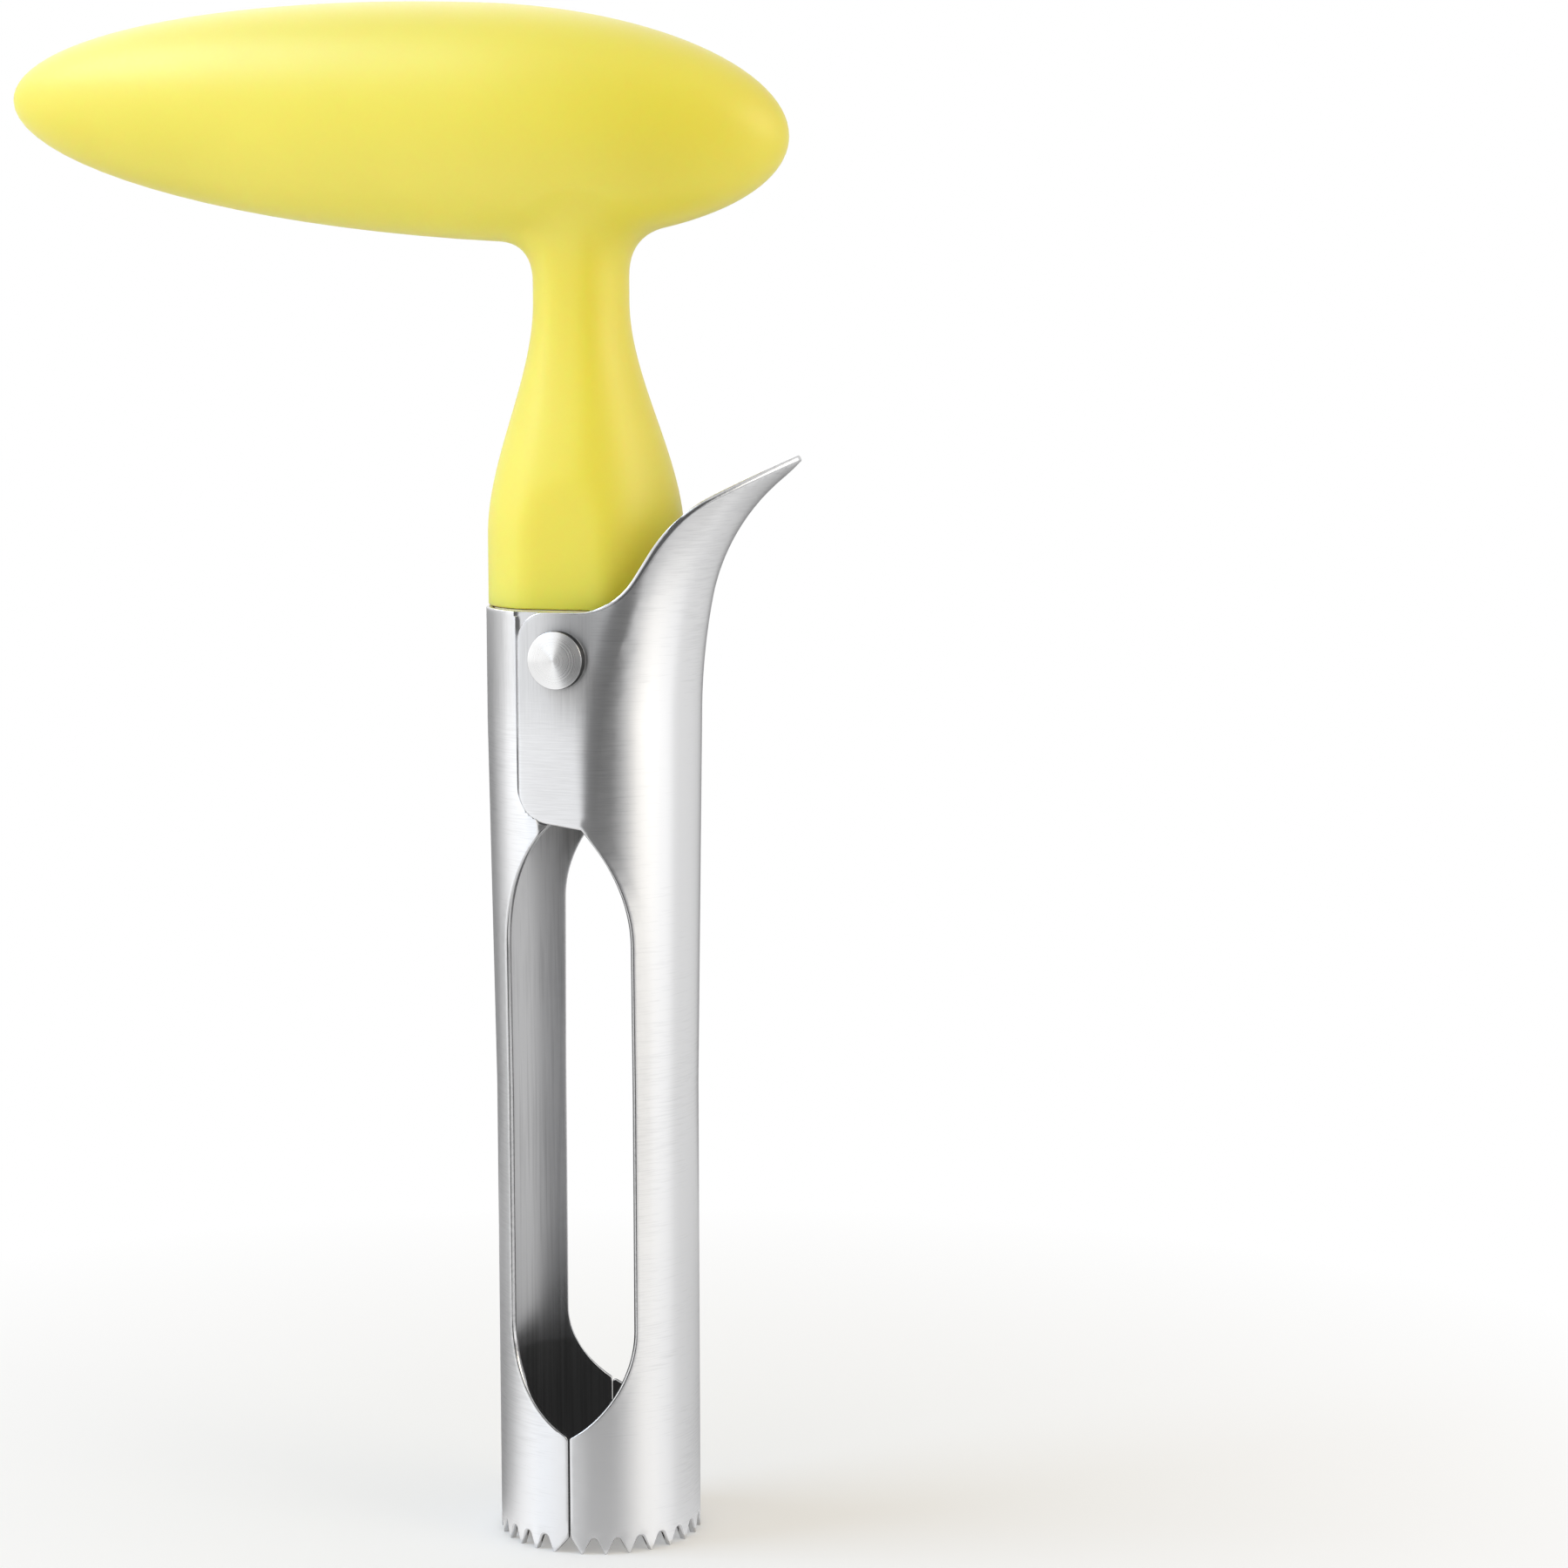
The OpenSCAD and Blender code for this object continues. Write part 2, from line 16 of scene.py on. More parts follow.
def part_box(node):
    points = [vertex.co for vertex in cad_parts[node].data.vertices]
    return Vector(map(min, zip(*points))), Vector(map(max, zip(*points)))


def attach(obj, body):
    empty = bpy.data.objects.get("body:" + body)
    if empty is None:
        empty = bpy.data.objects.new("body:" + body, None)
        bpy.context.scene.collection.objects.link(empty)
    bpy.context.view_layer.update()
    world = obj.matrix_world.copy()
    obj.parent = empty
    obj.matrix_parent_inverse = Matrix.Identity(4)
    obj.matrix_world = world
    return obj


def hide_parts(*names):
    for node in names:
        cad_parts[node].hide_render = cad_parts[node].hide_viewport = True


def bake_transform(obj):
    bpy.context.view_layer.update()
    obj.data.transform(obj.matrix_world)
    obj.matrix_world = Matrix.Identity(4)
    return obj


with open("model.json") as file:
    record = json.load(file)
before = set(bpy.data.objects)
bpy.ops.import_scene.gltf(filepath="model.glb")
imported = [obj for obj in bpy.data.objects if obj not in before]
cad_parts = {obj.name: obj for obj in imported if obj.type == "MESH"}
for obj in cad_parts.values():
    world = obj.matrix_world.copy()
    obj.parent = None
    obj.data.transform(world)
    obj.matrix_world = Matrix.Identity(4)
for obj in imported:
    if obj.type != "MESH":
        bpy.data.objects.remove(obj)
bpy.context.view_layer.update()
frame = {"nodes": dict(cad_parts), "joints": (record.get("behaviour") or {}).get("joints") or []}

MM = 0.001


def node_box(node):
    """Lowest and highest corner of a CAD node, in millimetres."""
    return [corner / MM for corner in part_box(node)]


fixed_low, fixed_high = node_box("fixed_half")
lever_high = node_box("lever_half")[1]
grip_low, grip_high = node_box("handle_grip")

# Tube and lap joint, with the sizes that the frame doesn't give by itself
TUBE_R = fixed_high.y
TOP_R = -fixed_low.x
TOP_Z = fixed_high.z
FLAT_Y = lever_high.y
PIVOT_Z = frame["joints"][0]["pos_m"][2] / MM
SHEET_T = 0.7
LAP_GAP = 0.1
WIDEN_Z = 52
FRONT_SEAM = (0.5, 0.17)
BACK_SEAM = (-2.7, 0.1)
TAB_Z = TOP_Z - 23
TAB_X = -4.8
TAB_R = 3.3
TAB_LOW_R = 3.6
TAB_ARCH_X = 2.6
EAR_R = 4.2
CREASE_SOFT = (0.2, 1.0)
FALL_X = -3
FALL_RUN = 4
FALL_SLOPE = 0.088
FALL_Z = (90, 102)
SHANK_R = 2
HEAD_R = 3.2
HEAD_H = 1.45

# Teeth
TOOTH_H = 1.8
ROOT_R = 0.46
TIP_W = 0.25
SEAM_ROOT_H = TOOTH_H * 0.97
FIXED_TEETH = 13
FIXED_MARGIN = 9
LEVER_TEETH = 14

# Corners where the seam meets the window, in front and at the back
FIXED_CORNERS = (0.9, 0.3)
LEVER_CORNERS = (0.4, 0.3)

# Lever: two bends of the flare, and the cut edge
FLARE_Z = TOP_Z - 12.7
BEND_R = 72
BEND_A = 10.8
TIP_BEND_R = 23
EDGE_X = 6.4
EDGE_A = 56
EDGE_RISE = 10.15
SCOOP_R = 7.8
CREST_R = 20.8
TIP_X = 24.6

# Resolution of the sheets, and the roundness of their cut edges, seams, notches and teeth
GRID = 0.9
GRID_GAP = GRID * 0.6
EXTRA_GAP = GRID * 0.3
EDGE_STEP = 0.7
EDGE_ROUND = 0.2
SEAM_ROUND = 0.12
SEAM_HIGH_Z = 14
ROOT_ROUND = 0.26
TIP_ROUND = 0.08
# Turns of the rings round a cut edge, and whether they are counted from the inner face
RIM_TURNS = ((30, False), (60, False), (90, False), (90, True), (60, True), (30, True))


def sin(a):
    return math.sin(math.radians(a))


def cos(a):
    return math.cos(math.radians(a))


def tan(a):
    return math.tan(math.radians(a))


def mix(a, b, t):
    return a + (b - a) * t


def ease(t):
    t = min(max(t, 0), 1)
    return t * t * (3 - 2 * t)


def soft_limit(value, limit, soft):
    """value, but no more than limit, with a rounded corner between the two."""
    near = max(soft - abs(value - limit), 0) / soft
    return min(value, limit) - near * near * soft / 4


# Outlines in front view: lists of (x, z)


def arc(centre, r, start, end, steps):
    turns = [mix(start, end, i / steps) for i in range(steps + 1)]
    return [(centre[0] + r * cos(a), centre[1] + r * sin(a)) for a in turns]


def rounded(a, b, c, r, steps=8):
    """Points of a rounded corner at b, on the way from a through b to c."""
    way_in = math.degrees(math.atan2(b[1] - a[1], b[0] - a[0]))
    way_out = math.degrees(math.atan2(c[1] - b[1], c[0] - b[0]))
    turn = (way_out - way_in + 540) % 360 - 180
    side = 1 if turn > 0 else -1
    back = r * tan(abs(turn) / 2)
    start = (b[0] - back * cos(way_in), b[1] - back * sin(way_in))
    centre = (start[0] - r * side * sin(way_in), start[1] + r * side * cos(way_in))
    return arc(centre, r, way_in - side * 90, way_in - side * 90 + turn, steps)


def dense(points, step):
    """The same open line with no stretch longer than step."""
    line = [points[0]]
    for a, b in zip(points, points[1:]):
        count = max(1, math.ceil(math.dist(a, b) / step))
        line += [tuple(mix(p, q, i / count) for p, q in zip(a, b)) for i in range(1, count + 1)]
    return line


# Walls of the tube: outer radius at a height


def fixed_radius(z):
    return mix(TUBE_R, TOP_R, min(max((z - WIDEN_Z) / (FLARE_Z - WIDEN_Z), 0), 1))


BEND_1 = (TOP_R + BEND_R, FLARE_Z)
BEND_END = (BEND_1[0] - BEND_R * cos(BEND_A), BEND_1[1] + BEND_R * sin(BEND_A))
BEND_2 = (BEND_END[0] + TIP_BEND_R * cos(BEND_A), BEND_END[1] - TIP_BEND_R * sin(BEND_A))


def lever_radius(z):
    if z <= FLARE_Z:
        return fixed_radius(z)
    centre, r = (BEND_1, BEND_R) if z < BEND_END[1] else (BEND_2, TIP_BEND_R)
    return centre[0] - math.sqrt(r * r - (z - centre[1]) ** 2)


def wall_point(radius, angle, z, inset):
    """A point of a wall of revolution at an angle from the front, inset along the wall's normal."""
    nudge = 0.01
    rise = (radius(z + nudge) - radius(z - nudge)) / (2 * nudge)
    across = 1 / math.hypot(1, rise)
    r = radius(z) - inset * across
    return r * math.sin(angle), -r * math.cos(angle), z + inset * rise * across


def flat_fall(x, z):
    """How far the outer face of a flat falls away beside the rivet, towards the lever."""
    past = max(0, x - FALL_X)
    fall = past * past / (2 * FALL_RUN) if past < FALL_RUN else past - FALL_RUN / 2
    return FALL_SLOPE * fall * ease((z - FALL_Z[0]) / (FALL_Z[1] - FALL_Z[0]))


def lever_point(angle, z, inset):
    x, y, height = wall_point(lever_radius, angle, z, inset)
    if z < WIDEN_Z:
        return x, y, height
    deep = abs(y) if x > 0 else math.hypot(x, y)
    soft = mix(*CREASE_SOFT, min(max((z - TAB_Z) / (TOP_Z - TAB_Z), 0), 1))
    flat = FLAT_Y - inset - flat_fall(x, z) * (1 - inset / SHEET_T)
    return x, math.copysign(soft_limit(deep, flat, soft), y), height


# The fixed half dips under the tabs: a ramp follows the tab's corner, steep beside it and gentle below it

EAR_Y = FLAT_Y - SHEET_T - LAP_GAP
DIP_BESIDE = 0.35
DIP_X = -2.65
DIP_LEAN = 0.35
DIP_STEEP = 2.5
DIP_GENTLE = 0.5
DIP_TURN = 0.5
DIP_SOFT = 0.15


def dip_x(z):
    """Where the ramp starts, at a height."""
    rise = min(max(TAB_Z + TAB_LOW_R - z, 0), TAB_LOW_R)
    corner = TAB_X + TAB_LOW_R - math.sqrt(TAB_LOW_R ** 2 - rise ** 2)
    return max(min(corner - DIP_BESIDE, DIP_X - DIP_LEAN * (z - TAB_Z)), TAB_X - DIP_BESIDE)


def fixed_point(angle, z, inset):
    x, y, height = wall_point(fixed_radius, angle, z, inset)
    if z < WIDEN_Z:
        return x, y, height
    start = dip_x(z)
    slope = mix(DIP_STEEP, DIP_GENTLE, ease((TAB_Z - z) / DIP_TURN))
    ramp = math.sqrt(fixed_radius(z) ** 2 - start ** 2) - slope * (x - start)
    flat = -soft_limit(-ramp, -EAR_Y, DIP_SOFT) - inset
    return x, math.copysign(soft_limit(abs(y), flat, DIP_SOFT), y), height


def turned(points, radius, back=False):
    """A front-view line as (angle, z) on the front or back wall, in steps of a few degrees at most."""
    most = math.radians(2.5)
    line = []
    for x, z in points:
        angle = math.asin(min(max(x / radius(z), -1), 1))
        if back:
            angle = math.pi - angle
        if line and abs(angle - line[-1][0]) > most:
            last = line[-1]
            count = math.ceil(abs(angle - last[0]) / most)
            line += [(mix(last[0], angle, i / count), mix(last[1], z, i / count)) for i in range(1, count)]
        line.append((angle, z))
    return line


# Teeth, on the developed wall


def tooth_line(start, end, count, margin):
    """The toothed lower edge from seam to seam, as (angle, z), with half a notch at each seam."""
    first = start + math.copysign(margin, end - start)
    last = end - math.copysign(margin, end - start)
    tips = [mix(first, last, i / (count - 1)) for i in range(count)]
    half_tip = math.copysign(TIP_W / 2 / TUBE_R, end - start)
    line = [(start, SEAM_ROOT_H)]
    for i, tip in enumerate(tips):
        line += [(tip - half_tip, 0), (tip + half_tip, 0)]
        if i + 1 < count:
            left = tip + half_tip
            right = tips[i + 1] - half_tip
            middle = (left + right) / 2
            half_w = abs(right - left) / 2 * TUBE_R
            flank = math.degrees(math.atan2(TOOTH_H, half_w))
            root = arc((0, TOOTH_H - ROOT_R), ROOT_R, 180 - (90 - flank), 90 - flank, 8)
            side = math.copysign(1, end - start)
            line += [(middle + side * x / TUBE_R, z) for x, z in root]
    return line + [(end, SEAM_ROOT_H)]


# Sheets


def inside(points, loops):
    """Which points lie inside the loops, by counting crossings."""
    result = np.zeros(len(points), bool)
    x, z = points[:, :1], points[:, 1:]
    for loop in loops:
        a = np.array(loop)
        b = np.roll(a, -1, axis=0)
        rise = b[:, 1] - a[:, 1]
        rise = np.where(rise == 0, 1e-12, rise)
        at_height = (a[:, 1] > z) != (b[:, 1] > z)
        to_the_right = x < (b[:, 0] - a[:, 0]) * (z - a[:, 1]) / rise + a[:, 0]
        result ^= (at_height & to_the_right).sum(axis=1) % 2 == 1
    return result


def sheet_triangles(loops, extra):
    """Triangles of a developed sheet within its loops, over an even grid and some extra points.

    The third result says where the points of the loops have gone.
    """
    points = [p for loop in loops for p in loop]
    edges = []
    first = 0
    for loop in loops:
        last = first + len(loop) - 1
        edges += [(i, i + 1) for i in range(first, last)] + [(last, first)]
        first = last + 1
    low, high = np.min(points, axis=0), np.max(points, axis=0)
    rows = np.arange(low[1], high[1], GRID)
    columns = np.arange(low[0], high[0], GRID)
    grid = [(s + (GRID / 2 if i % 2 else 0), z) for i, z in enumerate(rows) for s in columns]
    for more, gap in ((extra, EXTRA_GAP), (grid, GRID_GAP)):
        more = np.array(more)
        more = more[inside(more, loops)]
        known = np.array(points)
        gaps = np.array([np.min(np.hypot(*(known - p).T)) for p in more])
        points += [tuple(p) for p in more[gaps > gap]]
    corners, _, faces, origins, *_ = delaunay_2d_cdt([Vector(p) for p in points], edges, [], 0, 1e-6)
    middles = np.array([sum((corners[i] for i in face), Vector((0, 0))) / len(face) for face in faces])
    place = {k: i for i, known in enumerate(origins) for k in known}
    return corners, [face for face, within in zip(faces, inside(middles, loops)) if within], place


def new_object(name, bm, materials):
    mesh = bpy.data.meshes.new(name)
    bm.to_mesh(mesh)
    bm.free()
    mesh.transform(Matrix.Scale(MM, 4))
    obj = bpy.data.objects.new(name, mesh)
    bpy.context.scene.collection.objects.link(obj)
    for material in materials:
        mesh.materials.append(material)
    return obj


def smooth(obj, sharp_angle=35):
    obj.data.polygons.foreach_set("use_smooth", [True] * len(obj.data.polygons))
    obj.data.set_sharp_from_angle(angle=math.radians(sharp_angle))
    obj.data.update()


OUTER, INNER, RIM = range(3)
BORDER = 0.3


def edge_round(z):
    """Roundness of a sheet's cut edge at a height: the seams and the teeth are sharper."""
    if z > SEAM_HIGH_Z:
        return EDGE_ROUND
    return SEAM_ROUND if z > TOOTH_H else mix(TIP_ROUND, ROOT_ROUND, z / TOOTH_H)


def area(loop):
    return sum(a[0] * b[1] - b[0] * a[1] for a, b in zip(loop, loop[1:] + loop[:1])) / 2


def inset_loop(loop, point, side, more=0):
    """The loop moved into the sheet by the roundness of its edge and more, measured on the sheet itself."""
    nudge = 1e-3
    line = []
    for before, (a, z), after in zip(loop[-1:] + loop[:-1], loop, loop[1:] + loop[:1]):
        here = Vector(point(a, z, 0))
        round_way = (Vector(point(a + nudge, z, 0)) - here) / nudge
        up_way = (Vector(point(a, z + nudge, 0)) - here) / nudge
        way_in = (here - Vector(point(*before, 0))).normalized()
        way_out = (Vector(point(*after, 0)) - here).normalized()
        way = (way_in + way_out).normalized()
        reach = (edge_round(z) + more) / max(way.dot(way_in), 0.5)
        move = round_way.cross(up_way).normalized().cross(way) * side * reach
        grid = np.array([round_way, up_way]).T
        turn, rise = np.linalg.lstsq(grid, np.array(move), rcond=None)[0]
        line.append((a + turn, z + rise))
    return line


def sheet(name, loops, creases, point, materials):
    """A sheet of steel with rounded edges: an outer skin, an inner skin and the rim between them."""
    insets = []
    borders = []
    for i, loop in enumerate(loops):
        side = math.copysign(1, area(loop)) * (1 if i == 0 else -1)
        insets.append(inset_loop(loop, point, side))
        borders.append([p for p in inset_loop(loop, point, side, BORDER) if p[1] > 2 * TOOTH_H])
    flat = [[(a * TOP_R, z) for a, z in loop] for loop in insets]
    folds = [(a * TOP_R, z) for line in borders + creases for a, z in line]
    corners, faces, place = sheet_triangles(flat, folds)
    bm = bmesh.new()
    outer = [bm.verts.new(point(s / TOP_R, z, 0)) for s, z in corners]
    inner = [bm.verts.new(point(s / TOP_R, z, SHEET_T)) for s, z in corners]
    for face in faces:
        bm.faces.new([outer[i] for i in face]).material_index = OUTER
        bm.faces.new([inner[i] for i in reversed(face)]).material_index = INNER
    first = 0
    for loop, inset in zip(loops, insets):
        spots = [place[first + k] for k in range(len(loop))]
        first += len(loop)
        rings = [[outer[i] for i in spots]]
        for turn, from_inside in RIM_TURNS:
            ring = []
            for p, q in zip(inset, loop):
                depth = edge_round(q[1]) * (1 - cos(turn))
                spot = [mix(u, v, sin(turn)) for u, v in zip(p, q)]
                ring.append(bm.verts.new(point(*spot, SHEET_T - depth if from_inside else depth)))
            rings.append(ring)
        rings.append([inner[i] for i in spots])
        for a, b in zip(rings, rings[1:]):
            for k in range(len(loop)):
                bm.faces.new((a[k - 1], a[k], b[k], b[k - 1])).material_index = RIM
    bmesh.ops.delete(bm, geom=[v for v in bm.verts if not v.link_faces], context="VERTS")
    bmesh.ops.recalc_face_normals(bm, faces=bm.faces)
    obj = new_object(name, bm, materials)
    smooth(obj)
    obj.modifiers.new("even_faces", "WEIGHTED_NORMAL").keep_sharp = True
    return obj


# Outline of the halves


class Window:
    """A window's outline: straight sides between two pointed arches. Left values come before right ones."""

    def __init__(self, edges, low_z, low_r, high_z, high_r):
        self.edges = edges
        self.low = (low_z, low_r, -1)
        self.high = (high_z, high_r, 1)

    def arch(self, x, start_z, r, way):
        """Height of an arch at a place across the window: way is -1 below the window and 1 above it."""
        heights = []
        for edge, z in zip(self.edges, start_z):
            from_centre = x - edge + math.copysign(r, edge)
            heights.append(z + way * math.sqrt(max(0, r * r - from_centre ** 2)))
        return max(heights) if way < 0 else min(heights)

    def line(self, side, low_x, high_x, steps=24):
        """One side's edge (-1 left, 1 right), from a place on the lower arch to one on the upper arch."""
        edge = self.edges[side > 0]
        shares = [sin(90 * i / steps) for i in range(steps + 1)]
        low = [mix(low_x, edge, t) for t in shares]
        high = [mix(high_x, edge, t) for t in reversed(shares)]
        return [(x, self.arch(x, *self.low)) for x in low] + [(x, self.arch(x, *self.high)) for x in high]


FRONT_WINDOW = Window((-7.3, 7.6), (25.9, 25.4), 14, (68.3, 69.0), 20)
BACK_WINDOW = Window((-7.45, 7.45), (23.2, 23.2), 10.7, (71.6, 71.6), 14)


def seam_line(window, seam, side, corner_r, high_x):
    """One half's edge from the teeth up the seam, round the corner and along the window."""
    seam_x, gap = seam
    edge_x = seam_x + side * gap / 2
    line = window.line(side, edge_x, high_x)
    start = (edge_x, TOOTH_H)
    return [start] + rounded(start, line[0], line[1], corner_r) + line[1:]


EDGE_START = (EDGE_X, TOP_Z)
EDGE_CREST = (EDGE_X + EDGE_RISE / tan(EDGE_A), TOP_Z + EDGE_RISE)
TIP_STEP = 0.06
NOSE_X = 24.1
NOSE_END_X = 24.5
NOSE_STEPS = 8


def flare_height(r):
    """Height of the flare's outer face at a radius beyond its last bend."""
    return BEND_2[1] + math.sqrt(TIP_BEND_R ** 2 - (BEND_2[0] - r) ** 2)


def nose(start):
    """The rounded end of the lever, from one side of its edge to the other, as (angle, z)."""
    x, z = start
    half_w = math.sqrt(lever_radius(z) ** 2 - x * x)
    line = []
    for i in range(1 - NOSE_STEPS, NOSE_STEPS):
        y = half_w * i / NOSE_STEPS
        ahead = mix(NOSE_END_X, x, (y / half_w) ** 2)
        line.append((math.pi / 2 + math.atan2(y, ahead), flare_height(math.hypot(ahead, y))))
    return line


BORE_TURN = 345
BORE_STEPS = 23
LEVER_PLAY = 0.05
FIXED_PLAY = 0.02


def bore(play, radius, back=False):
    """The rivet's hole in a wall, as (angle, z)."""
    return turned(arc((0, PIVOT_Z), SHANK_R + play, 0, BORE_TURN, BORE_STEPS), radius, back)


def lever_loops():
    left_low = (TAB_X, TAB_Z)
    left_high = (TAB_X, TOP_Z)
    edge = rounded(left_high, EDGE_START, EDGE_CREST, SCOOP_R)
    tip = (TIP_X, flare_height(TIP_X))
    edge += rounded(EDGE_START, EDGE_CREST, tip, CREST_R, 14)
    nose_share = (NOSE_X - edge[-1][0]) / (TIP_X - edge[-1][0])
    nose_start = (NOSE_X, mix(edge[-1][1], tip[1], nose_share))
    runout = dense([edge[-1], nose_start], TIP_STEP)[1:]
    halves = []
    for window, seam, corner_r, back in (
        (FRONT_WINDOW, FRONT_SEAM, LEVER_CORNERS[0], False),
        (BACK_WINDOW, BACK_SEAM, LEVER_CORNERS[1], True),
    ):
        side_line = seam_line(window, seam, 1, corner_r, TAB_ARCH_X)
        tab = rounded(side_line[-1], left_low, left_high, TAB_LOW_R)
        tab += rounded(left_low, left_high, EDGE_START, TAB_R)
        halves.append(turned(dense(side_line + tab + edge, EDGE_STEP) + runout, lever_radius, back))
    front, back = halves
    margin = abs(back[0][0] - front[0][0]) / LEVER_TEETH / 2
    teeth = tooth_line(back[0][0], front[0][0], LEVER_TEETH, margin)
    outline = front + nose(nose_start) + back[::-1] + teeth[1:-1]
    return [outline] + [bore(LEVER_PLAY, lever_radius, at_back) for at_back in (False, True)]


def both_sides(lines, mirror):
    return lines + [[(mirror - a, z) for a, z in line] for line in lines]


CREASE_SHARES = (0.5, 0.6, 0.7, 0.8, 0.9, 1, 1.1, 1.2, 1.3, 1.4)


def lever_creases():
    """Lines over the soft folds between the flats and the round wall, close enough to give their shape."""
    lines = []
    for share in CREASE_SHARES:
        heights = [mix(TAB_Z + 0.5, TOP_Z + 1, i / 40) for i in range(41)]
        lines.append([(share * math.acos(FLAT_Y / lever_radius(z)), z) for z in heights])
    return both_sides(lines, math.pi)


# Where the front and back lines of the fixed half meet, just inside the tube's outline
SIDE_X = -TOP_R * 0.999


def fixed_loops():
    ear_low = PIVOT_Z - EAR_R
    ear = arc((0, PIVOT_Z), EAR_R, -90, 90, 24)
    upper = [(0, ear_low - 1)] + ear + [(0, TOP_Z), (SIDE_X, TOP_Z)]
    halves = []
    for window, seam, corner_r in (
        (FRONT_WINDOW, FRONT_SEAM, FIXED_CORNERS[0]),
        (BACK_WINDOW, BACK_SEAM, FIXED_CORNERS[1]),
    ):
        side_line = seam_line(window, seam, -1, corner_r, 0)
        halves.append(turned(dense(side_line + upper, EDGE_STEP), fixed_radius))
    front = halves[0]
    back = [(-math.pi - a, z) for a, z in halves[1]]
    teeth = tooth_line(back[0][0], front[0][0], FIXED_TEETH, math.radians(FIXED_MARGIN))
    outline = front + back[::-1] + teeth[1:-1]
    return [outline] + both_sides([bore(FIXED_PLAY, fixed_radius)], -math.pi)


RAMP_OFFSETS = (-0.3, 0, 0.3, 0.6, 0.9, 1.2, 1.5, 1.8)


def fixed_creases():
    """Lines over the ramp beside the tab and under its lower corner, close enough to give its shape."""
    lines = []
    for offset in RAMP_OFFSETS:
        heights = [mix(TAB_Z - 4, TOP_Z - 0.3, i / 84) for i in range(85)]
        lines.append([(math.asin((dip_x(z) + offset) / fixed_radius(z)), z) for z in heights])
    return both_sides(lines, -math.pi)


# Revolved and swept pieces


def revolve(name, profile, segments, place, materials):
    """A closed solid about its own Z axis from a profile of (radius, height), put in place by a matrix."""
    bm = bmesh.new()
    rings = []
    for r, h in profile:
        if r == 0:
            rings.append([bm.verts.new(place @ Vector((0, 0, h)))])
            continue
        turns = [360 * k / segments for k in range(segments)]
        rings.append([bm.verts.new(place @ Vector((r * cos(a), r * sin(a), h))) for a in turns])
    for low, high in zip(rings, rings[1:]):
        for k in range(segments):
            corners = [low[i % len(low)] for i in (k, k + 1)] + [high[i % len(high)] for i in (k + 1, k)]
            bm.faces.new(list(dict.fromkeys(corners)))
    bmesh.ops.recalc_face_normals(bm, faces=bm.faces)
    obj = new_object(name, bm, materials)
    smooth(obj)
    return obj


def tube(name, points, r, sides, materials):
    """One unbroken round wire along a line of points."""
    bm = bmesh.new()
    line = [Vector(p) for p in points]
    ways = [(line[min(i + 1, len(line) - 1)] - line[max(i - 1, 0)]).normalized() for i in range(len(line))]
    up = Vector((0, 1, 0))
    rings = []
    for p, way in zip(line, ways):
        u = (up - way * up.dot(way)).normalized()
        v = way.cross(u)
        up = u
        turns = [360 * k / sides for k in range(sides)]
        rings.append([bm.verts.new(p + r * (cos(a) * u + sin(a) * v)) for a in turns])
    for a, b in zip(rings, rings[1:]):
        for k in range(sides):
            bm.faces.new((a[k], a[(k + 1) % sides], b[(k + 1) % sides], b[k]))
    bm.faces.new(rings[0][::-1])
    bm.faces.new(rings[-1])
    bmesh.ops.recalc_face_normals(bm, faces=bm.faces)
    obj = new_object(name, bm, materials)
    smooth(obj)
    return obj


# Materials


class Nodes:
    """A node tree, filled node by node."""

    def __init__(self, tree):
        self.tree = tree

    def add(self, kind, inputs=None, **settings):
        node = self.tree.nodes.new(kind)
        for key, value in settings.items():
            setattr(node, key, value)
        for key, value in (inputs or {}).items():
            self.feed(node.inputs[key], value)
        return node

    def feed(self, socket, value):
        if isinstance(value, bpy.types.NodeSocket):
            self.tree.links.new(value, socket)
        else:
            socket.default_value = value

    def ramp(self, value, low, high, start=0.3, end=0.7):
        """A number spread over a range, from low at start to high at end."""
        return self.add(
            "ShaderNodeMapRange",
            {"Value": value, "From Min": start, "From Max": end, "To Min": low, "To Max": high},
        ).outputs["Result"]

    def sum(self, a, b, operation="ADD"):
        return self.add("ShaderNodeMath", {0: a, 1: b}, operation=operation).outputs["Value"]

    def seen(self):
        """1 for the rays that show the background: camera, glossy and transmission rays."""
        path = self.add("ShaderNodeLightPath").outputs
        both = self.sum(path["Is Camera Ray"], path["Is Glossy Ray"], "MAXIMUM")
        return self.sum(both, path["Is Transmission Ray"], "MAXIMUM")


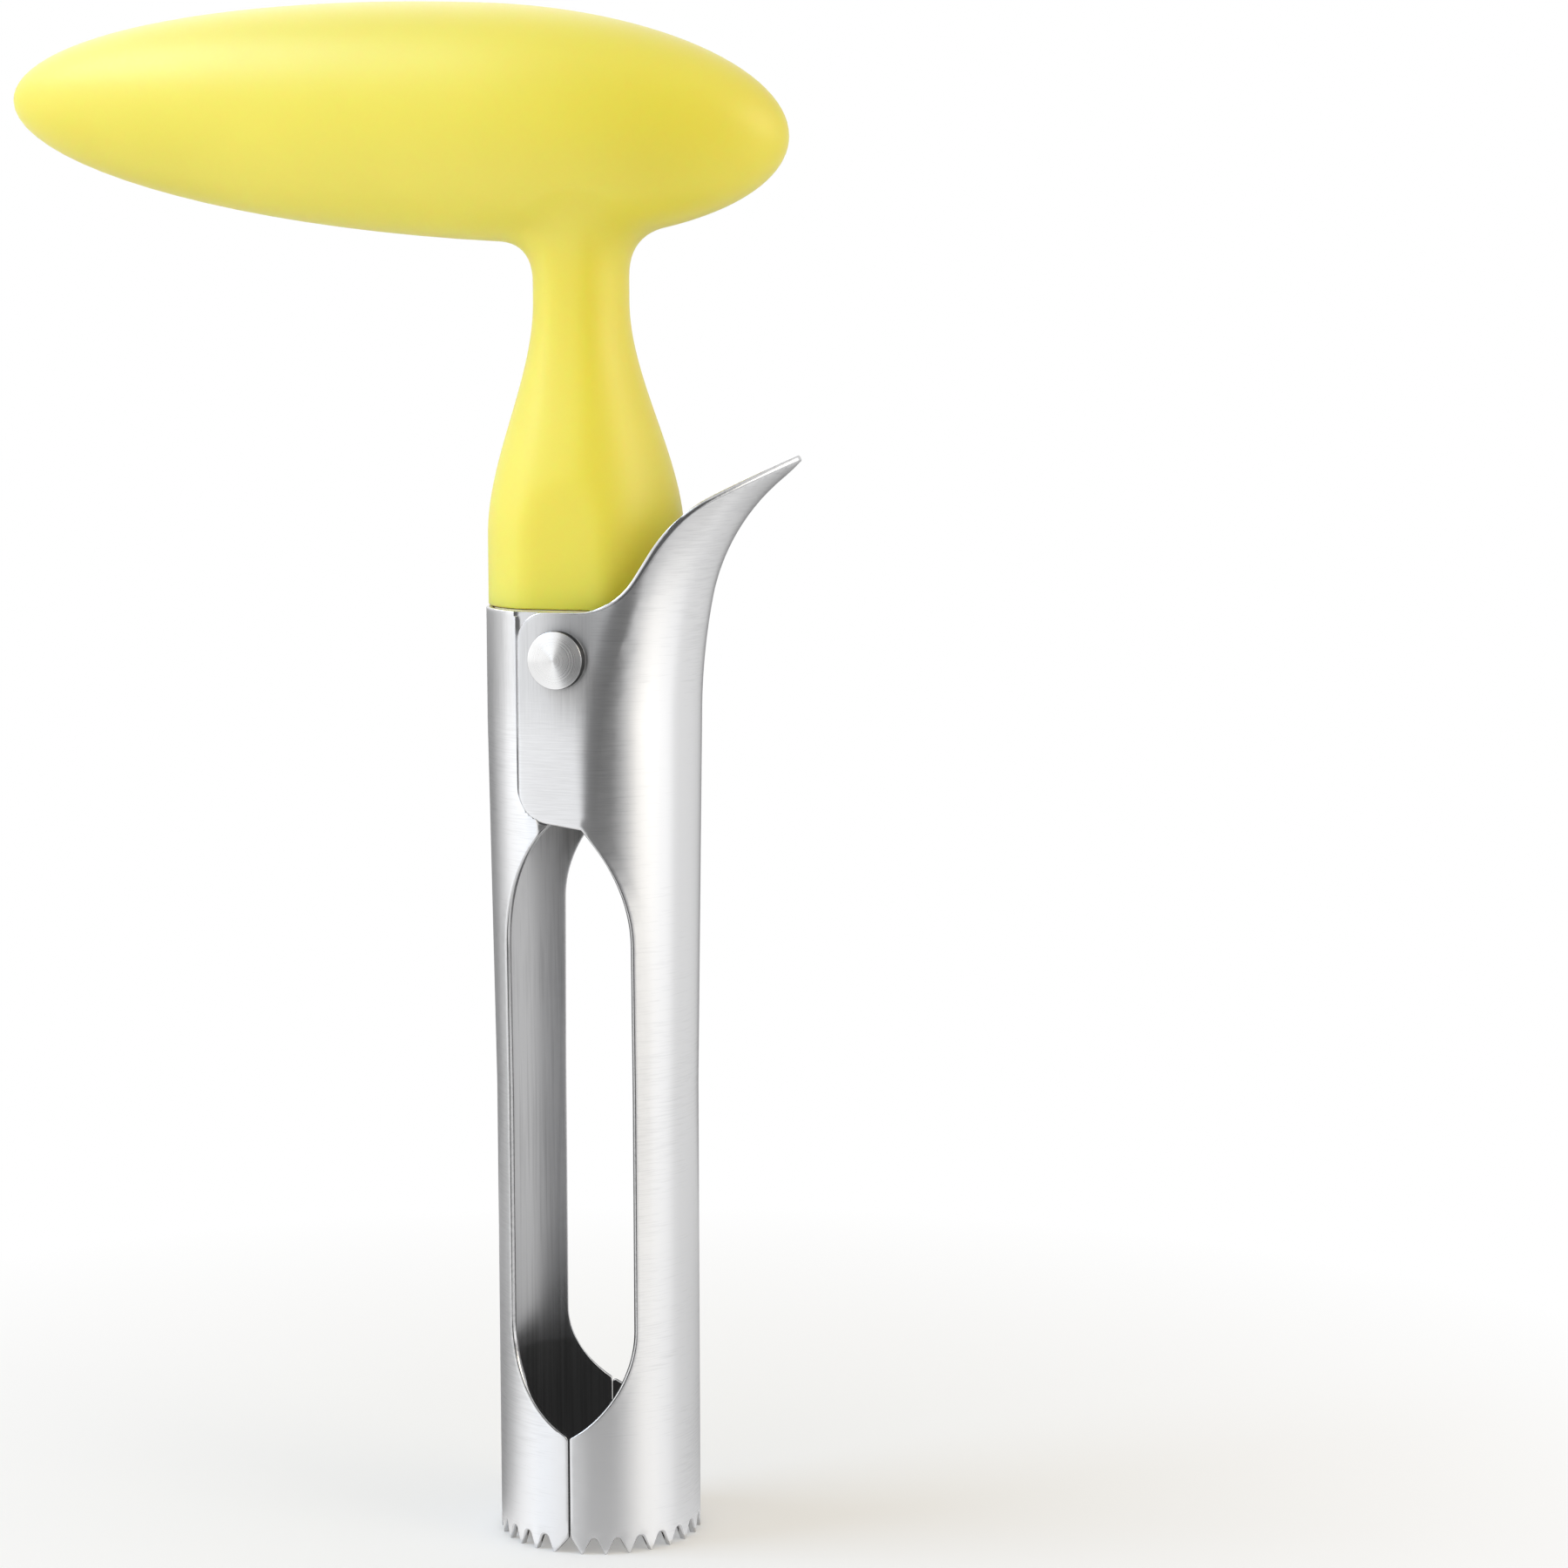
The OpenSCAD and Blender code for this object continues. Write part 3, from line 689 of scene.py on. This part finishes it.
class Shader(Nodes):
    """A material and its main shader."""

    def __init__(self, name):
        self.material = bpy.data.materials.new(name)
        self.material.use_nodes = True
        super().__init__(self.material.node_tree)
        self.surface = self.tree.nodes["Principled BSDF"]

    def set(self, **inputs):
        for key, value in inputs.items():
            self.feed(self.surface.inputs[key.replace("_", " ")], value)

    def grain(self, scale, detail, roughness=0.5):
        """Noise over the object, with its own scale per metre along X, Y and Z."""
        place = self.add("ShaderNodeTexCoord").outputs["Object"]
        stretched = self.add("ShaderNodeMapping", {"Vector": place, "Scale": scale}).outputs["Vector"]
        inputs = {"Vector": stretched, "Scale": 1.0, "Detail": detail, "Roughness": roughness}
        return self.add("ShaderNodeTexNoise", inputs).outputs["Fac"]

    def tint(self, value, dark, light, start=0.3, end=0.7):
        node = self.add("ShaderNodeValToRGB", {"Fac": value})
        node.color_ramp.elements[0].position = start
        node.color_ramp.elements[0].color = (*dark, 1)
        node.color_ramp.elements[1].position = end
        node.color_ramp.elements[1].color = (*light, 1)
        return node.outputs["Color"]

    def finish_steel(self, lines, dark, light, rough, dulling_and_painted_shade=None):
        """Steel whose colour, roughness and relief follow its lines, darkened by a share, which gives the
        duller flats about the rivet and the painted shade on the rivet's side.
        """
        cloud = self.grain((45, 45, 30), 2)
        spread = self.sum(lines, cloud)
        colour = self.tint(spread, dark, light, 0.75, 1.25)
        if dulling_and_painted_shade:
            colour = self.add(
                "ShaderNodeMix", {"Factor": dulling_and_painted_shade, "A": colour, "B": (0, 0, 0, 1)}, data_type="RGBA"
            ).outputs["Result"]
        self.set(
            Base_Color=colour,
            Metallic=1.0,
            Roughness=self.ramp(spread, rough - 0.04, rough + 0.05, 0.75, 1.25),
        )
        self.bump(lines, 0.15, 0.012)

    def turn(self, axis):
        """The stretched highlights of lines that run round an axis."""
        self.set(
            Anisotropic=0.85,
            Anisotropic_Rotation=0.25,
            Tangent=self.add("ShaderNodeTangent", direction_type="RADIAL", axis=axis).outputs["Tangent"],
        )

    def bump(self, height, strength, distance_mm):
        self.set(Normal=self.add(
            "ShaderNodeBump", {"Height": height, "Strength": strength, "Distance": distance_mm * MM}
        ).outputs["Normal"])


def brushed_steel(name, scale, dark, light, rough):
    """Satin steel with fine brush lines, which run along the axes with the small scale."""
    shader = Shader(name)
    lines = shader.grain(scale, 4, 0.6)
    shader.finish_steel(lines, dark, light, rough)
    return shader.material


# About the rivet the flats are brushed upright and duller: heights from the rivet, and the flats' end in X
DULL_Z = (-9, -3)
DULL_X = (3.2, 4.6)
DULL_SHARE = 0.15


def round_steel():
    """The tube's outer face: brushed round the tube, but upright and darker on the flats about the rivet."""
    shader = Shader("steel_round")
    place = shader.add("ShaderNodeTexCoord").outputs["Object"]
    axes = shader.add("ShaderNodeSeparateXYZ", {"Vector": place}).outputs
    above = shader.ramp(axes["Z"], 0, 1, *[(PIVOT_Z + z) * MM for z in DULL_Z])
    on_flat = shader.ramp(axes["X"], 1, 0, *[x * MM for x in DULL_X])
    about_rivet = shader.sum(above, on_flat, "MULTIPLY")
    level = shader.grain((260, 260, 6000), 3, 0.6)
    upright = shader.grain((4800, 4800, 160), 3, 0.6)
    lines = shader.add("ShaderNodeMix", {"Factor": about_rivet, "A": level, "B": upright}).outputs["Result"]
    dulling_and_painted_shade = shader.sum(about_rivet, DULL_SHARE, "MULTIPLY")
    shader.finish_steel(lines, (0.685, 0.685, 0.69), (0.77, 0.77, 0.775), 0.36, dulling_and_painted_shade)
    shader.turn("Z")
    return shader.material


def turned_steel():
    """The rivet: fine rings about its axis, and painted shade on the head's side, where it meets the sheet.
    """
    shader = Shader("rivet_steel")
    place = shader.add("ShaderNodeTexCoord").outputs["Object"]
    off = shader.add("ShaderNodeVectorMath", {0: place, 1: (0, 0, PIVOT_Z * MM)}, operation="SUBTRACT")
    aside = {0: off.outputs["Vector"], 1: (1, 0, 1)}
    flat = shader.add("ShaderNodeVectorMath", aside, operation="MULTIPLY").outputs["Vector"]
    distance = shader.add("ShaderNodeVectorMath", {0: flat}, operation="LENGTH").outputs["Value"]
    rings = shader.add(
        "ShaderNodeTexNoise", {"W": distance, "Scale": 7000.0, "Detail": 2.0}, noise_dimensions="1D"
    ).outputs["Fac"]
    # Painted shade: the head's side wall is darkened almost to black, standing in for the shadow in the gap
    # under the head
    side = shader.ramp(distance, 0.0, 0.85, (HEAD_R - 0.05) * MM, (HEAD_R - 0.02) * MM)
    shader.finish_steel(rings, (0.75, 0.75, 0.75), (0.84, 0.84, 0.84), 0.3, side)
    shader.turn("Y")
    return shader.material


def soft_grip():
    """Soft-touch yellow: a fine moulded grain and a faint unevenness of the colour."""
    shader = Shader("soft_grip")
    grain = shader.grain((3600, 3600, 3600), 2)
    cloud = shader.grain((40, 40, 40), 2)
    shader.set(
        Base_Color=shader.tint(cloud, (0.755, 0.69, 0.03), (0.80, 0.74, 0.045)),
        Roughness=shader.ramp(grain, 0.44, 0.52),
        Specular_IOR_Level=1.0,
        Sheen_Weight=0.3,
        Sheen_Roughness=0.45,
        Subsurface_Weight=0.5,
        Subsurface_Radius=(1.0, 0.4, 0.06),
        Subsurface_Scale=0.01,
    )
    shader.bump(grain, 0.1, 0.05)
    return shader.material


def core_plastic():
    """Moulded stiff plastic of the spine."""
    shader = Shader("core_plastic")
    grain = shader.grain((1500, 1500, 1500), 3)
    cloud = shader.grain((60, 60, 60), 2)
    shader.set(
        Base_Color=shader.tint(cloud, (0.74, 0.72, 0.62), (0.82, 0.80, 0.71)),
        Roughness=shader.ramp(grain, 0.42, 0.55),
    )
    shader.bump(grain, 0.12, 0.05)
    return shader.material


steel_round = round_steel()
steel_inside = brushed_steel(
    "steel_inside", (2600, 2600, 40), (0.46, 0.46, 0.465), (0.59, 0.59, 0.595), 0.34
)
steel_rim = brushed_steel("steel_rim", (2400, 2400, 2400), (0.50, 0.50, 0.505), (0.60, 0.60, 0.605), 0.22)
rivet_steel = turned_steel()
spring_steel = brushed_steel("spring_steel", (700, 700, 700), (0.36, 0.37, 0.38), (0.52, 0.53, 0.54), 0.3)
grip_yellow = soft_grip()

# Steel halves

STEEL = (steel_round, steel_inside, steel_rim)
lever_half = sheet("lever_sheet", lever_loops(), lever_creases(), lever_point, STEEL)
fixed_half = sheet("fixed_sheet", fixed_loops(), fixed_creases(), fixed_point, STEEL)
for piece, node, body in ((lever_half, "lever_half", "lever"), (fixed_half, "fixed_half", "handle")):
    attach(piece, body)
    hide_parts(node)

# Rivet: two heads, a hollow shank and the cap's pin

PIN_R = 1.2
PIN_HOLE_R = 1.22
PIN_END = 1
PIN_CHAMFER = 0.1
HEAD_SIDE_H = 0.75
HEAD_ROUND = 0.14
HEAD_SUNK = 0.2
HEAD_CHAMFER = 0.06
CROWN_RISE = HEAD_H - HEAD_SIDE_H - HEAD_ROUND
CROWN_R = HEAD_R - HEAD_ROUND
CROWN_POWER = 1.5
CROWN_STEPS = 20
head_side = [(HEAD_R - HEAD_CHAMFER, -HEAD_SUNK), (HEAD_R, HEAD_CHAMFER - HEAD_SUNK)]
head_edge = arc((CROWN_R, HEAD_SIDE_H), HEAD_ROUND, 0, 80, 5)
crown = []
for step in range(CROWN_STEPS - 1, 0, -1):
    share = step / CROWN_STEPS
    crown.append((CROWN_R * share, HEAD_H - CROWN_RISE * share ** CROWN_POWER))
head = head_side + head_edge + crown + [(0, HEAD_H)]
front_place = Matrix.Translation((0, -FLAT_Y, PIVOT_Z)) @ Matrix.Rotation(math.radians(90), 4, "X")
back_place = Matrix.Translation((0, FLAT_Y, PIVOT_Z)) @ Matrix.Rotation(math.radians(-90), 4, "X")
shank = [(0, -FLAT_Y), (PIN_HOLE_R, -FLAT_Y), (PIN_HOLE_R, -2 * FLAT_Y)]
shank += [(SHANK_R, -2 * FLAT_Y), (SHANK_R, 0)]
pin = [(0, PIN_END - FLAT_Y), (PIN_R - PIN_CHAMFER, PIN_END - FLAT_Y)]
pin += [(PIN_R, PIN_END + PIN_CHAMFER - FLAT_Y), (PIN_R, 0)]
rivet = revolve("rivet", shank + head, 72, front_place, [rivet_steel])
cap = revolve("rivet_back", pin + head, 72, back_place, [rivet_steel])
for piece, node in ((rivet, "pivot_rivet"), (cap, "rivet_cap")):
    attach(piece, "handle")
    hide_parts(node)

# Return spring: a rest leg, the coil and the leg that presses on the lever

WIRE_R = 0.45
COIL_R = 2.9
COIL_PITCH = 1.45
TURNS = 4
LEG_RISE = 9
LEG_GAP = 0.1
REST_LEG = 8
RINGS_PER_TURN = 36


def lever_inner(z):
    """Radius of the inner face of the lever's wall at a height."""
    centre, r = (BEND_1, BEND_R) if z < BEND_END[1] else (BEND_2, TIP_BEND_R)
    return centre[0] - math.sqrt((r + SHEET_T) ** 2 - (z - centre[1]) ** 2)


leg_y = TURNS * COIL_PITCH / 2 + WIRE_R
leg_wall = math.sqrt(lever_inner(PIVOT_Z + LEG_RISE - WIRE_R) ** 2 - leg_y ** 2)
leg_tip = (leg_wall - WIRE_R - LEG_GAP, LEG_RISE)
leg_reach = math.hypot(*leg_tip)
leave_a = math.degrees(math.atan2(leg_tip[1], leg_tip[0]) - math.acos(COIL_R / leg_reach))
leg_l = math.sqrt(leg_reach ** 2 - COIL_R ** 2)
last_a = 360 * TURNS + leave_a
coil_half = last_a / 360 * COIL_PITCH / 2


def coil_point(a):
    return Vector((COIL_R * cos(a), mix(-coil_half, coil_half, a / last_a), PIVOT_Z + COIL_R * sin(a)))


coil_rings = RINGS_PER_TURN * TURNS
coil = [coil_point(last_a * i / coil_rings) for i in range(coil_rings + 1)]
rest_end = Vector((COIL_R, -coil_half, PIVOT_Z - REST_LEG))
leg_way = Vector((cos(leave_a + 90), 0, sin(leave_a + 90)))
wire = [mix(rest_end, coil[0], i / 8) for i in range(8)] + coil
wire += [coil[-1] + leg_way * (leg_l * i / 10) for i in range(1, 11)]
spring = tube("torsion_spring", wire, WIRE_R, 14, [spring_steel])
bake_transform(spring)
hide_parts("return_spring")

# Grip: one loft up the stem, round the blend and over the bar

FOOT_Z = grip_low.z
STEM_W = 22.3
STEM_D = 19.6
PAD_Y = 8.89
PAD_TILT = 0.6
STEM_X = STEM_W / 2 - TOP_R
STEM_LOW = 7.8
NECK_H = 33.8
NECK_W = 10.8
NECK_D = 10.2
NECK_X = -1.25
STRIP_CUT = 0.22
PAD_SOFT = 0.5
FOOT_ROUND = 0.2
BLEND_R = 4.6
BAR_X = -11.9
BAR_Z = TOP_Z + 53.6
BAR_H = 26.2
BAR_D = grip_high.y - grip_low.y
BAR_LONG = BAR_X - grip_low.x
BAR_SHORT = grip_high.x - BAR_X
BAR_LEAN = 3.27
COLUMNS = 128
STEM_ROWS = 44
BLEND_ROWS = 12
UNDER_ROWS = 20
TOP_ROWS = 28


def stem_point(a, z):
    """Plan point of the stem at a column's angle: an ellipse with flat pads in front and behind."""
    t = ease((z - TOP_Z - STEM_LOW) / (NECK_H - STEM_LOW))
    half_d = mix(STEM_D, NECK_D, t) / 2
    pad_y = PAD_Y - PAD_TILT * cos(a)
    deep = soft_limit(half_d * abs(sin(a)), min(pad_y, half_d - STRIP_CUT), PAD_SOFT)
    draw_in = FOOT_ROUND * (1 - math.sqrt(1 - max(0, 1 - (z - FOOT_Z) / FOOT_ROUND) ** 2))
    share = 1 - draw_in / half_d
    x = mix(STEM_X, NECK_X, t) + mix(STEM_W, NECK_W, t) / 2 * cos(a) * share
    return x, math.copysign(deep * share, sin(a))


def bar_reach(dx):
    return BAR_LONG if dx < 0 else BAR_SHORT


def rim_point(a):
    return BAR_X + bar_reach(cos(a)) * cos(a), BAR_D / 2 * sin(a)


def bar_skin(p, side):
    """Height of the bar's skin over a plan point, below (-1) or above (1) its middle."""
    dx = p[0] - BAR_X
    rest = 1 - (dx / bar_reach(dx)) ** 2 - (2 * p[1] / BAR_D) ** 2
    return BAR_Z - dx * tan(BAR_LEAN) + side * BAR_H / 2 * math.sqrt(max(rest, 0))


def toward(p, q, t):
    return mix(p[0], q[0], t), mix(p[1], q[1], t)


def grip_column(a):
    """One column of the skin, from the foot to the last ring below the top's middle."""
    neck = stem_point(a, TOP_Z + NECK_H)
    rim = rim_point(a)
    corner = Vector((*neck, bar_skin(neck, -1)))
    start = corner - Vector((0, 0, BLEND_R))
    blend_share = BLEND_R / math.dist(rim, neck)
    out = toward(neck, rim, blend_share)
    end = Vector((*out, bar_skin(out, -1)))
    first = math.degrees(math.asin(blend_share))
    foot = [FOOT_Z + FOOT_ROUND * (1 - cos(18 * i)) for i in range(5)]
    heights = foot + [mix(FOOT_Z + FOOT_ROUND, start.z, i / STEM_ROWS) for i in range(STEM_ROWS)]
    column = [Vector((*stem_point(a, z), z)) for z in heights]
    for i in range(BLEND_ROWS + 1):
        t = i / BLEND_ROWS
        column.append(mix(mix(start, corner, t), mix(corner, end, t), t))
    for i in range(1, UNDER_ROWS + 1):
        p = toward(neck, rim, sin(mix(first, 90, i / UNDER_ROWS)))
        column.append(Vector((*p, bar_skin(p, -1))))
    for i in range(1, TOP_ROWS):
        p = toward((BAR_X, 0), rim, cos(90 * i / TOP_ROWS))
        column.append(Vector((*p, bar_skin(p, 1))))
    return column


SLOT_W = 1.9
SLOT_REACH = 16
OPEN_A = frame["joints"][0]["range_deg"][1]


def slot_box():
    """The room that the spring's leg and its swing take from the grip."""
    away = Vector((cos(leave_a), 0, sin(leave_a)))
    swing = leg_l * sin(OPEN_A)
    bm = bmesh.new()
    bmesh.ops.create_cube(bm, size=1)
    for vert in bm.verts:
        along = SLOT_REACH * (vert.co.x + 0.5)
        out = mix(COIL_R - SLOT_W / 2 - swing, COIL_R + SLOT_W / 2, vert.co.z + 0.5)
        vert.co = leg_way * along + away * out + Vector((0, coil_half + SLOT_W * vert.co.y, PIVOT_Z))
    bmesh.ops.recalc_face_normals(bm, faces=bm.faces)
    return new_object("slot", bm, [grip_yellow])


def cut_slot(obj):
    box = slot_box()
    cut = obj.modifiers.new("slot", "BOOLEAN")
    cut.object = box
    cut.solver = "EXACT"
    whole = obj.data
    obj.data = bpy.data.meshes.new_from_object(obj.evaluated_get(bpy.context.evaluated_depsgraph_get()))
    obj.modifiers.clear()
    bpy.data.meshes.remove(whole)
    bpy.data.meshes.remove(box.data)


def loft_grip():
    bm = bmesh.new()
    columns = [[bm.verts.new(p) for p in grip_column(360 * k / COLUMNS)] for k in range(COLUMNS)]
    top = bm.verts.new((BAR_X, 0, BAR_Z + BAR_H / 2))
    for a, b in zip(columns, columns[1:] + columns[:1]):
        for i in range(len(a) - 1):
            bm.faces.new((a[i], b[i], b[i + 1], a[i + 1]))
        bm.faces.new((a[-1], b[-1], top))
    bm.faces.new([column[0] for column in columns][::-1])
    bmesh.ops.recalc_face_normals(bm, faces=bm.faces)
    obj = new_object("grip", bm, [grip_yellow])
    cut_slot(obj)
    smooth(obj, 60)
    return obj


grip = loft_grip()
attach(grip, "handle")
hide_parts("handle_grip")

core = frame["nodes"]["handle_core"]
core.data.materials.clear()
core.data.materials.append(core_plastic())

# Stage: a pale floor that turns white away from the object, a white world and soft lights

FLOOR_SIZE = 4.0
FLOOR_FADE = (-0.05, 0.16)


def floor_material():
    shader = Shader("pale_floor")
    place = shader.add("ShaderNodeTexCoord").outputs["Object"]
    distance = shader.add("ShaderNodeVectorMath", {0: place}, operation="LENGTH").outputs["Value"]
    far = shader.ramp(distance, 0.0, 1.0, *FLOOR_FADE)
    shown = shader.sum(far, shader.seen(), "MULTIPLY")
    shader.set(Base_Color=(0.85, 0.86, 0.88, 1), Roughness=0.8, Specular_IOR_Level=0.1)
    white = shader.add("ShaderNodeEmission", {"Strength": 1.0}).outputs["Emission"]
    output = shader.tree.nodes["Material Output"]
    both = shader.add("ShaderNodeMixShader", {0: shown, 1: shader.surface.outputs["BSDF"], 2: white})
    shader.feed(output.inputs["Surface"], both.outputs["Shader"])
    return shader.material


def make_floor():
    bm = bmesh.new()
    bmesh.ops.create_grid(bm, x_segments=2, y_segments=2, size=FLOOR_SIZE / 2 / MM)
    floor = new_object("floor", bm, [floor_material()])


AMBIENT = 0.58
AMBIENT_COLOUR = (1.0, 0.89, 0.69, 1)


def make_world():
    world = bpy.data.worlds.new("studio")
    world.use_nodes = True
    bpy.context.scene.world = world
    nodes = Nodes(world.node_tree)
    background = nodes.tree.nodes["Background"].inputs
    seen = nodes.seen()
    nodes.feed(background["Strength"], nodes.ramp(seen, AMBIENT, 1.0, 0, 1))
    nodes.feed(background["Color"], nodes.add(
        "ShaderNodeMix", {"Factor": seen, "A": AMBIENT_COLOUR, "B": (1, 1, 1, 1)}, data_type="RGBA"
    ).outputs["Result"])


TARGET = Vector((0, 0, 0.095))


def around(azimuth, height, distance):
    """A place round the object: azimuth 0 is the front, 90 the lever's side."""
    return Vector((distance * sin(azimuth), -distance * cos(azimuth), height))


def facing(place):
    return (TARGET - place).to_track_quat("-Z", "Y").to_matrix().to_4x4()


def make_light(name, azimuth, height, distance, size, level, colour=(1, 1, 1)):
    """A soft box with an even glow of the given level, where a level of 1 looks white."""
    light = bpy.data.lights.new(name, "AREA")
    light.shape = "RECTANGLE"
    light.size, light.size_y = size
    light.energy = level * math.pi * light.size * light.size_y
    light.color = colour
    obj = bpy.data.objects.new(name, light)
    place = around(azimuth, height, distance)
    obj.matrix_world = Matrix.Translation(place) @ facing(place)
    bpy.context.scene.collection.objects.link(obj)
    return obj


def card_material():
    shader = Shader("card")
    shade = shader.add("ShaderNodeAttribute", attribute_name="shade").outputs["Fac"]
    shader.set(Base_Color=(0, 0, 0, 1), Roughness=1.0, Specular_IOR_Level=0.0)
    shader.set(Emission_Color=(1, 1, 1, 1), Emission_Strength=shade)
    return shader.material


CARD_STEP = 5


def make_card(name, low, high, shades, material):
    """A card that only reflections see, as in a photo studio.

    It stands round the object between two lines of (radius, height), with a shade at each azimuth.
    """
    bm = bmesh.new()
    layer = bm.verts.layers.float.new("shade")
    pairs = []
    for azimuth, shade in dense(shades, CARD_STEP):
        pair = [bm.verts.new(around(azimuth, height, radius) / MM) for radius, height in (low, high)]
        for vert in pair:
            vert[layer] = shade
        pairs.append(pair)
    for a, b in zip(pairs, pairs[1:]):
        bm.faces.new((a[0], b[0], b[1], a[1]))
    card = new_object(name, bm, [material])
    for ray in ("camera", "diffuse", "shadow", "transmission", "volume_scatter"):
        setattr(card, "visible_" + ray, False)


make_floor()
make_world()
make_light("key", -63, 0.72, 0.64, (0.45, 0.45), 4.1, (0.78, 1.04, 1.4))
make_light("fill", 75, 0.5, 0.8, (0.4, 0.4), 2.1, (1.0, 0.88, 0.66))
make_light("side_left", -66, 0.35, 0.9, (0.8, 1.0), 0.76)
make_light("side_right", 88, 0.35, 0.9, (0.8, 1.0), 0.77)
make_light("front", -15, 0.03, 0.7, (0.5, 0.5), 2.2, (1.0, 0.9, 0.68)).visible_glossy = False

# Cards: the shade at each azimuth
FRONT_SHADES = [
    (-52, 1.0), (-42, 1.18), (-18, 1.18), (-7, 0.14),
    (36, 0.14), (41, 0.28), (50, 0.65), (58, 1.0),
]
FLARE_SHADES = [(30, 0.14), (60, 0.16), (74, 0.25), (82, 1.0)]
BACK_SHADES = [
    (112, 0.92), (141, 0.88), (164, 0.72), (180, 0.3), (200, 0.22),
    (223, 0.28), (242, 0.28), (256, 0.6), (268, 0.9),
]
LEFT_SHADES = [(-175, 1.0), (-150, 2.5), (-110, 2.5), (-95, 1.0)]
FLOOR_SHADES = [
    (-160, 0.34), (-110, 0.34), (-90, 0.5), (-60, 0.98), (-35, 1.03), (-5, 0.98), (11, 0.76),
    (31, 0.76), (51, 0.88), (72, 0.92), (95, 0.84), (123, 0.76), (152, 0.62), (200, 0.34),
]
BORE_PAINTED_SHADES = [(0, 0.03), (360, 0.03)]
glow = card_material()
make_card("card_front", (0.11, 0.0), (0.11, 0.3), FRONT_SHADES, glow)
make_card("card_flare", (0.109, 0.042), (0.109, 0.068), FLARE_SHADES, glow)
make_card("card_back", (0.17, 0.0), (0.17, 0.105), BACK_SHADES, glow)
make_card("card_left", (0.9, 0.45), (0.9, 1.5), LEFT_SHADES, glow)
make_card("card_floor", (0.0115, 0.0005), (0.14, 0.0005), FLOOR_SHADES, glow)
# Painted shade: a near-black card round the inside of the tube's foot, which reflections see in place of the
# shaded inner walls and floor there
make_card("card_bore_painted_shade", (0.01, 0.0), (0.01, 0.0195), BORE_PAINTED_SHADES, glow)

# Camera at the photo's place

PHOTO_PX = 1800
FOCAL_PX = 4476.5
CAMERA_AZIMUTH = 21.0
CAMERA_DISTANCE = 0.43685
CAMERA_HEIGHT = 0.13968
CAMERA_PITCH = 7.021
CAMERA_YAW = 2.787
CAMERA_ROLL = -0.121


def make_camera():
    camera = bpy.data.cameras.new("camera")
    camera.sensor_width = 36
    camera.lens = FOCAL_PX / PHOTO_PX * camera.sensor_width
    camera.clip_start = 0.01
    camera.clip_end = 20
    up = Vector((0, 0, 1))
    base = Vector((-sin(CAMERA_AZIMUTH), cos(CAMERA_AZIMUTH), 0))
    right = Vector((cos(CAMERA_AZIMUTH), sin(CAMERA_AZIMUTH), 0))
    level = base * cos(CAMERA_YAW) + right * sin(CAMERA_YAW)
    across = right * cos(CAMERA_YAW) - base * sin(CAMERA_YAW)
    forward = level * cos(CAMERA_PITCH) - up * sin(CAMERA_PITCH)
    head = up * cos(CAMERA_PITCH) + level * sin(CAMERA_PITCH)
    view_x = across * cos(CAMERA_ROLL) + head * sin(CAMERA_ROLL)
    view_y = head * cos(CAMERA_ROLL) - across * sin(CAMERA_ROLL)
    obj = bpy.data.objects.new("camera", camera)
    turn = Matrix((view_x, view_y, -forward)).transposed().to_4x4()
    place = around(CAMERA_AZIMUTH, CAMERA_HEIGHT, CAMERA_DISTANCE)
    obj.matrix_world = Matrix.Translation(place) @ turn
    bpy.context.scene.collection.objects.link(obj)
    bpy.context.scene.camera = obj


make_camera()
bpy.context.scene.view_settings.view_transform = "Standard"
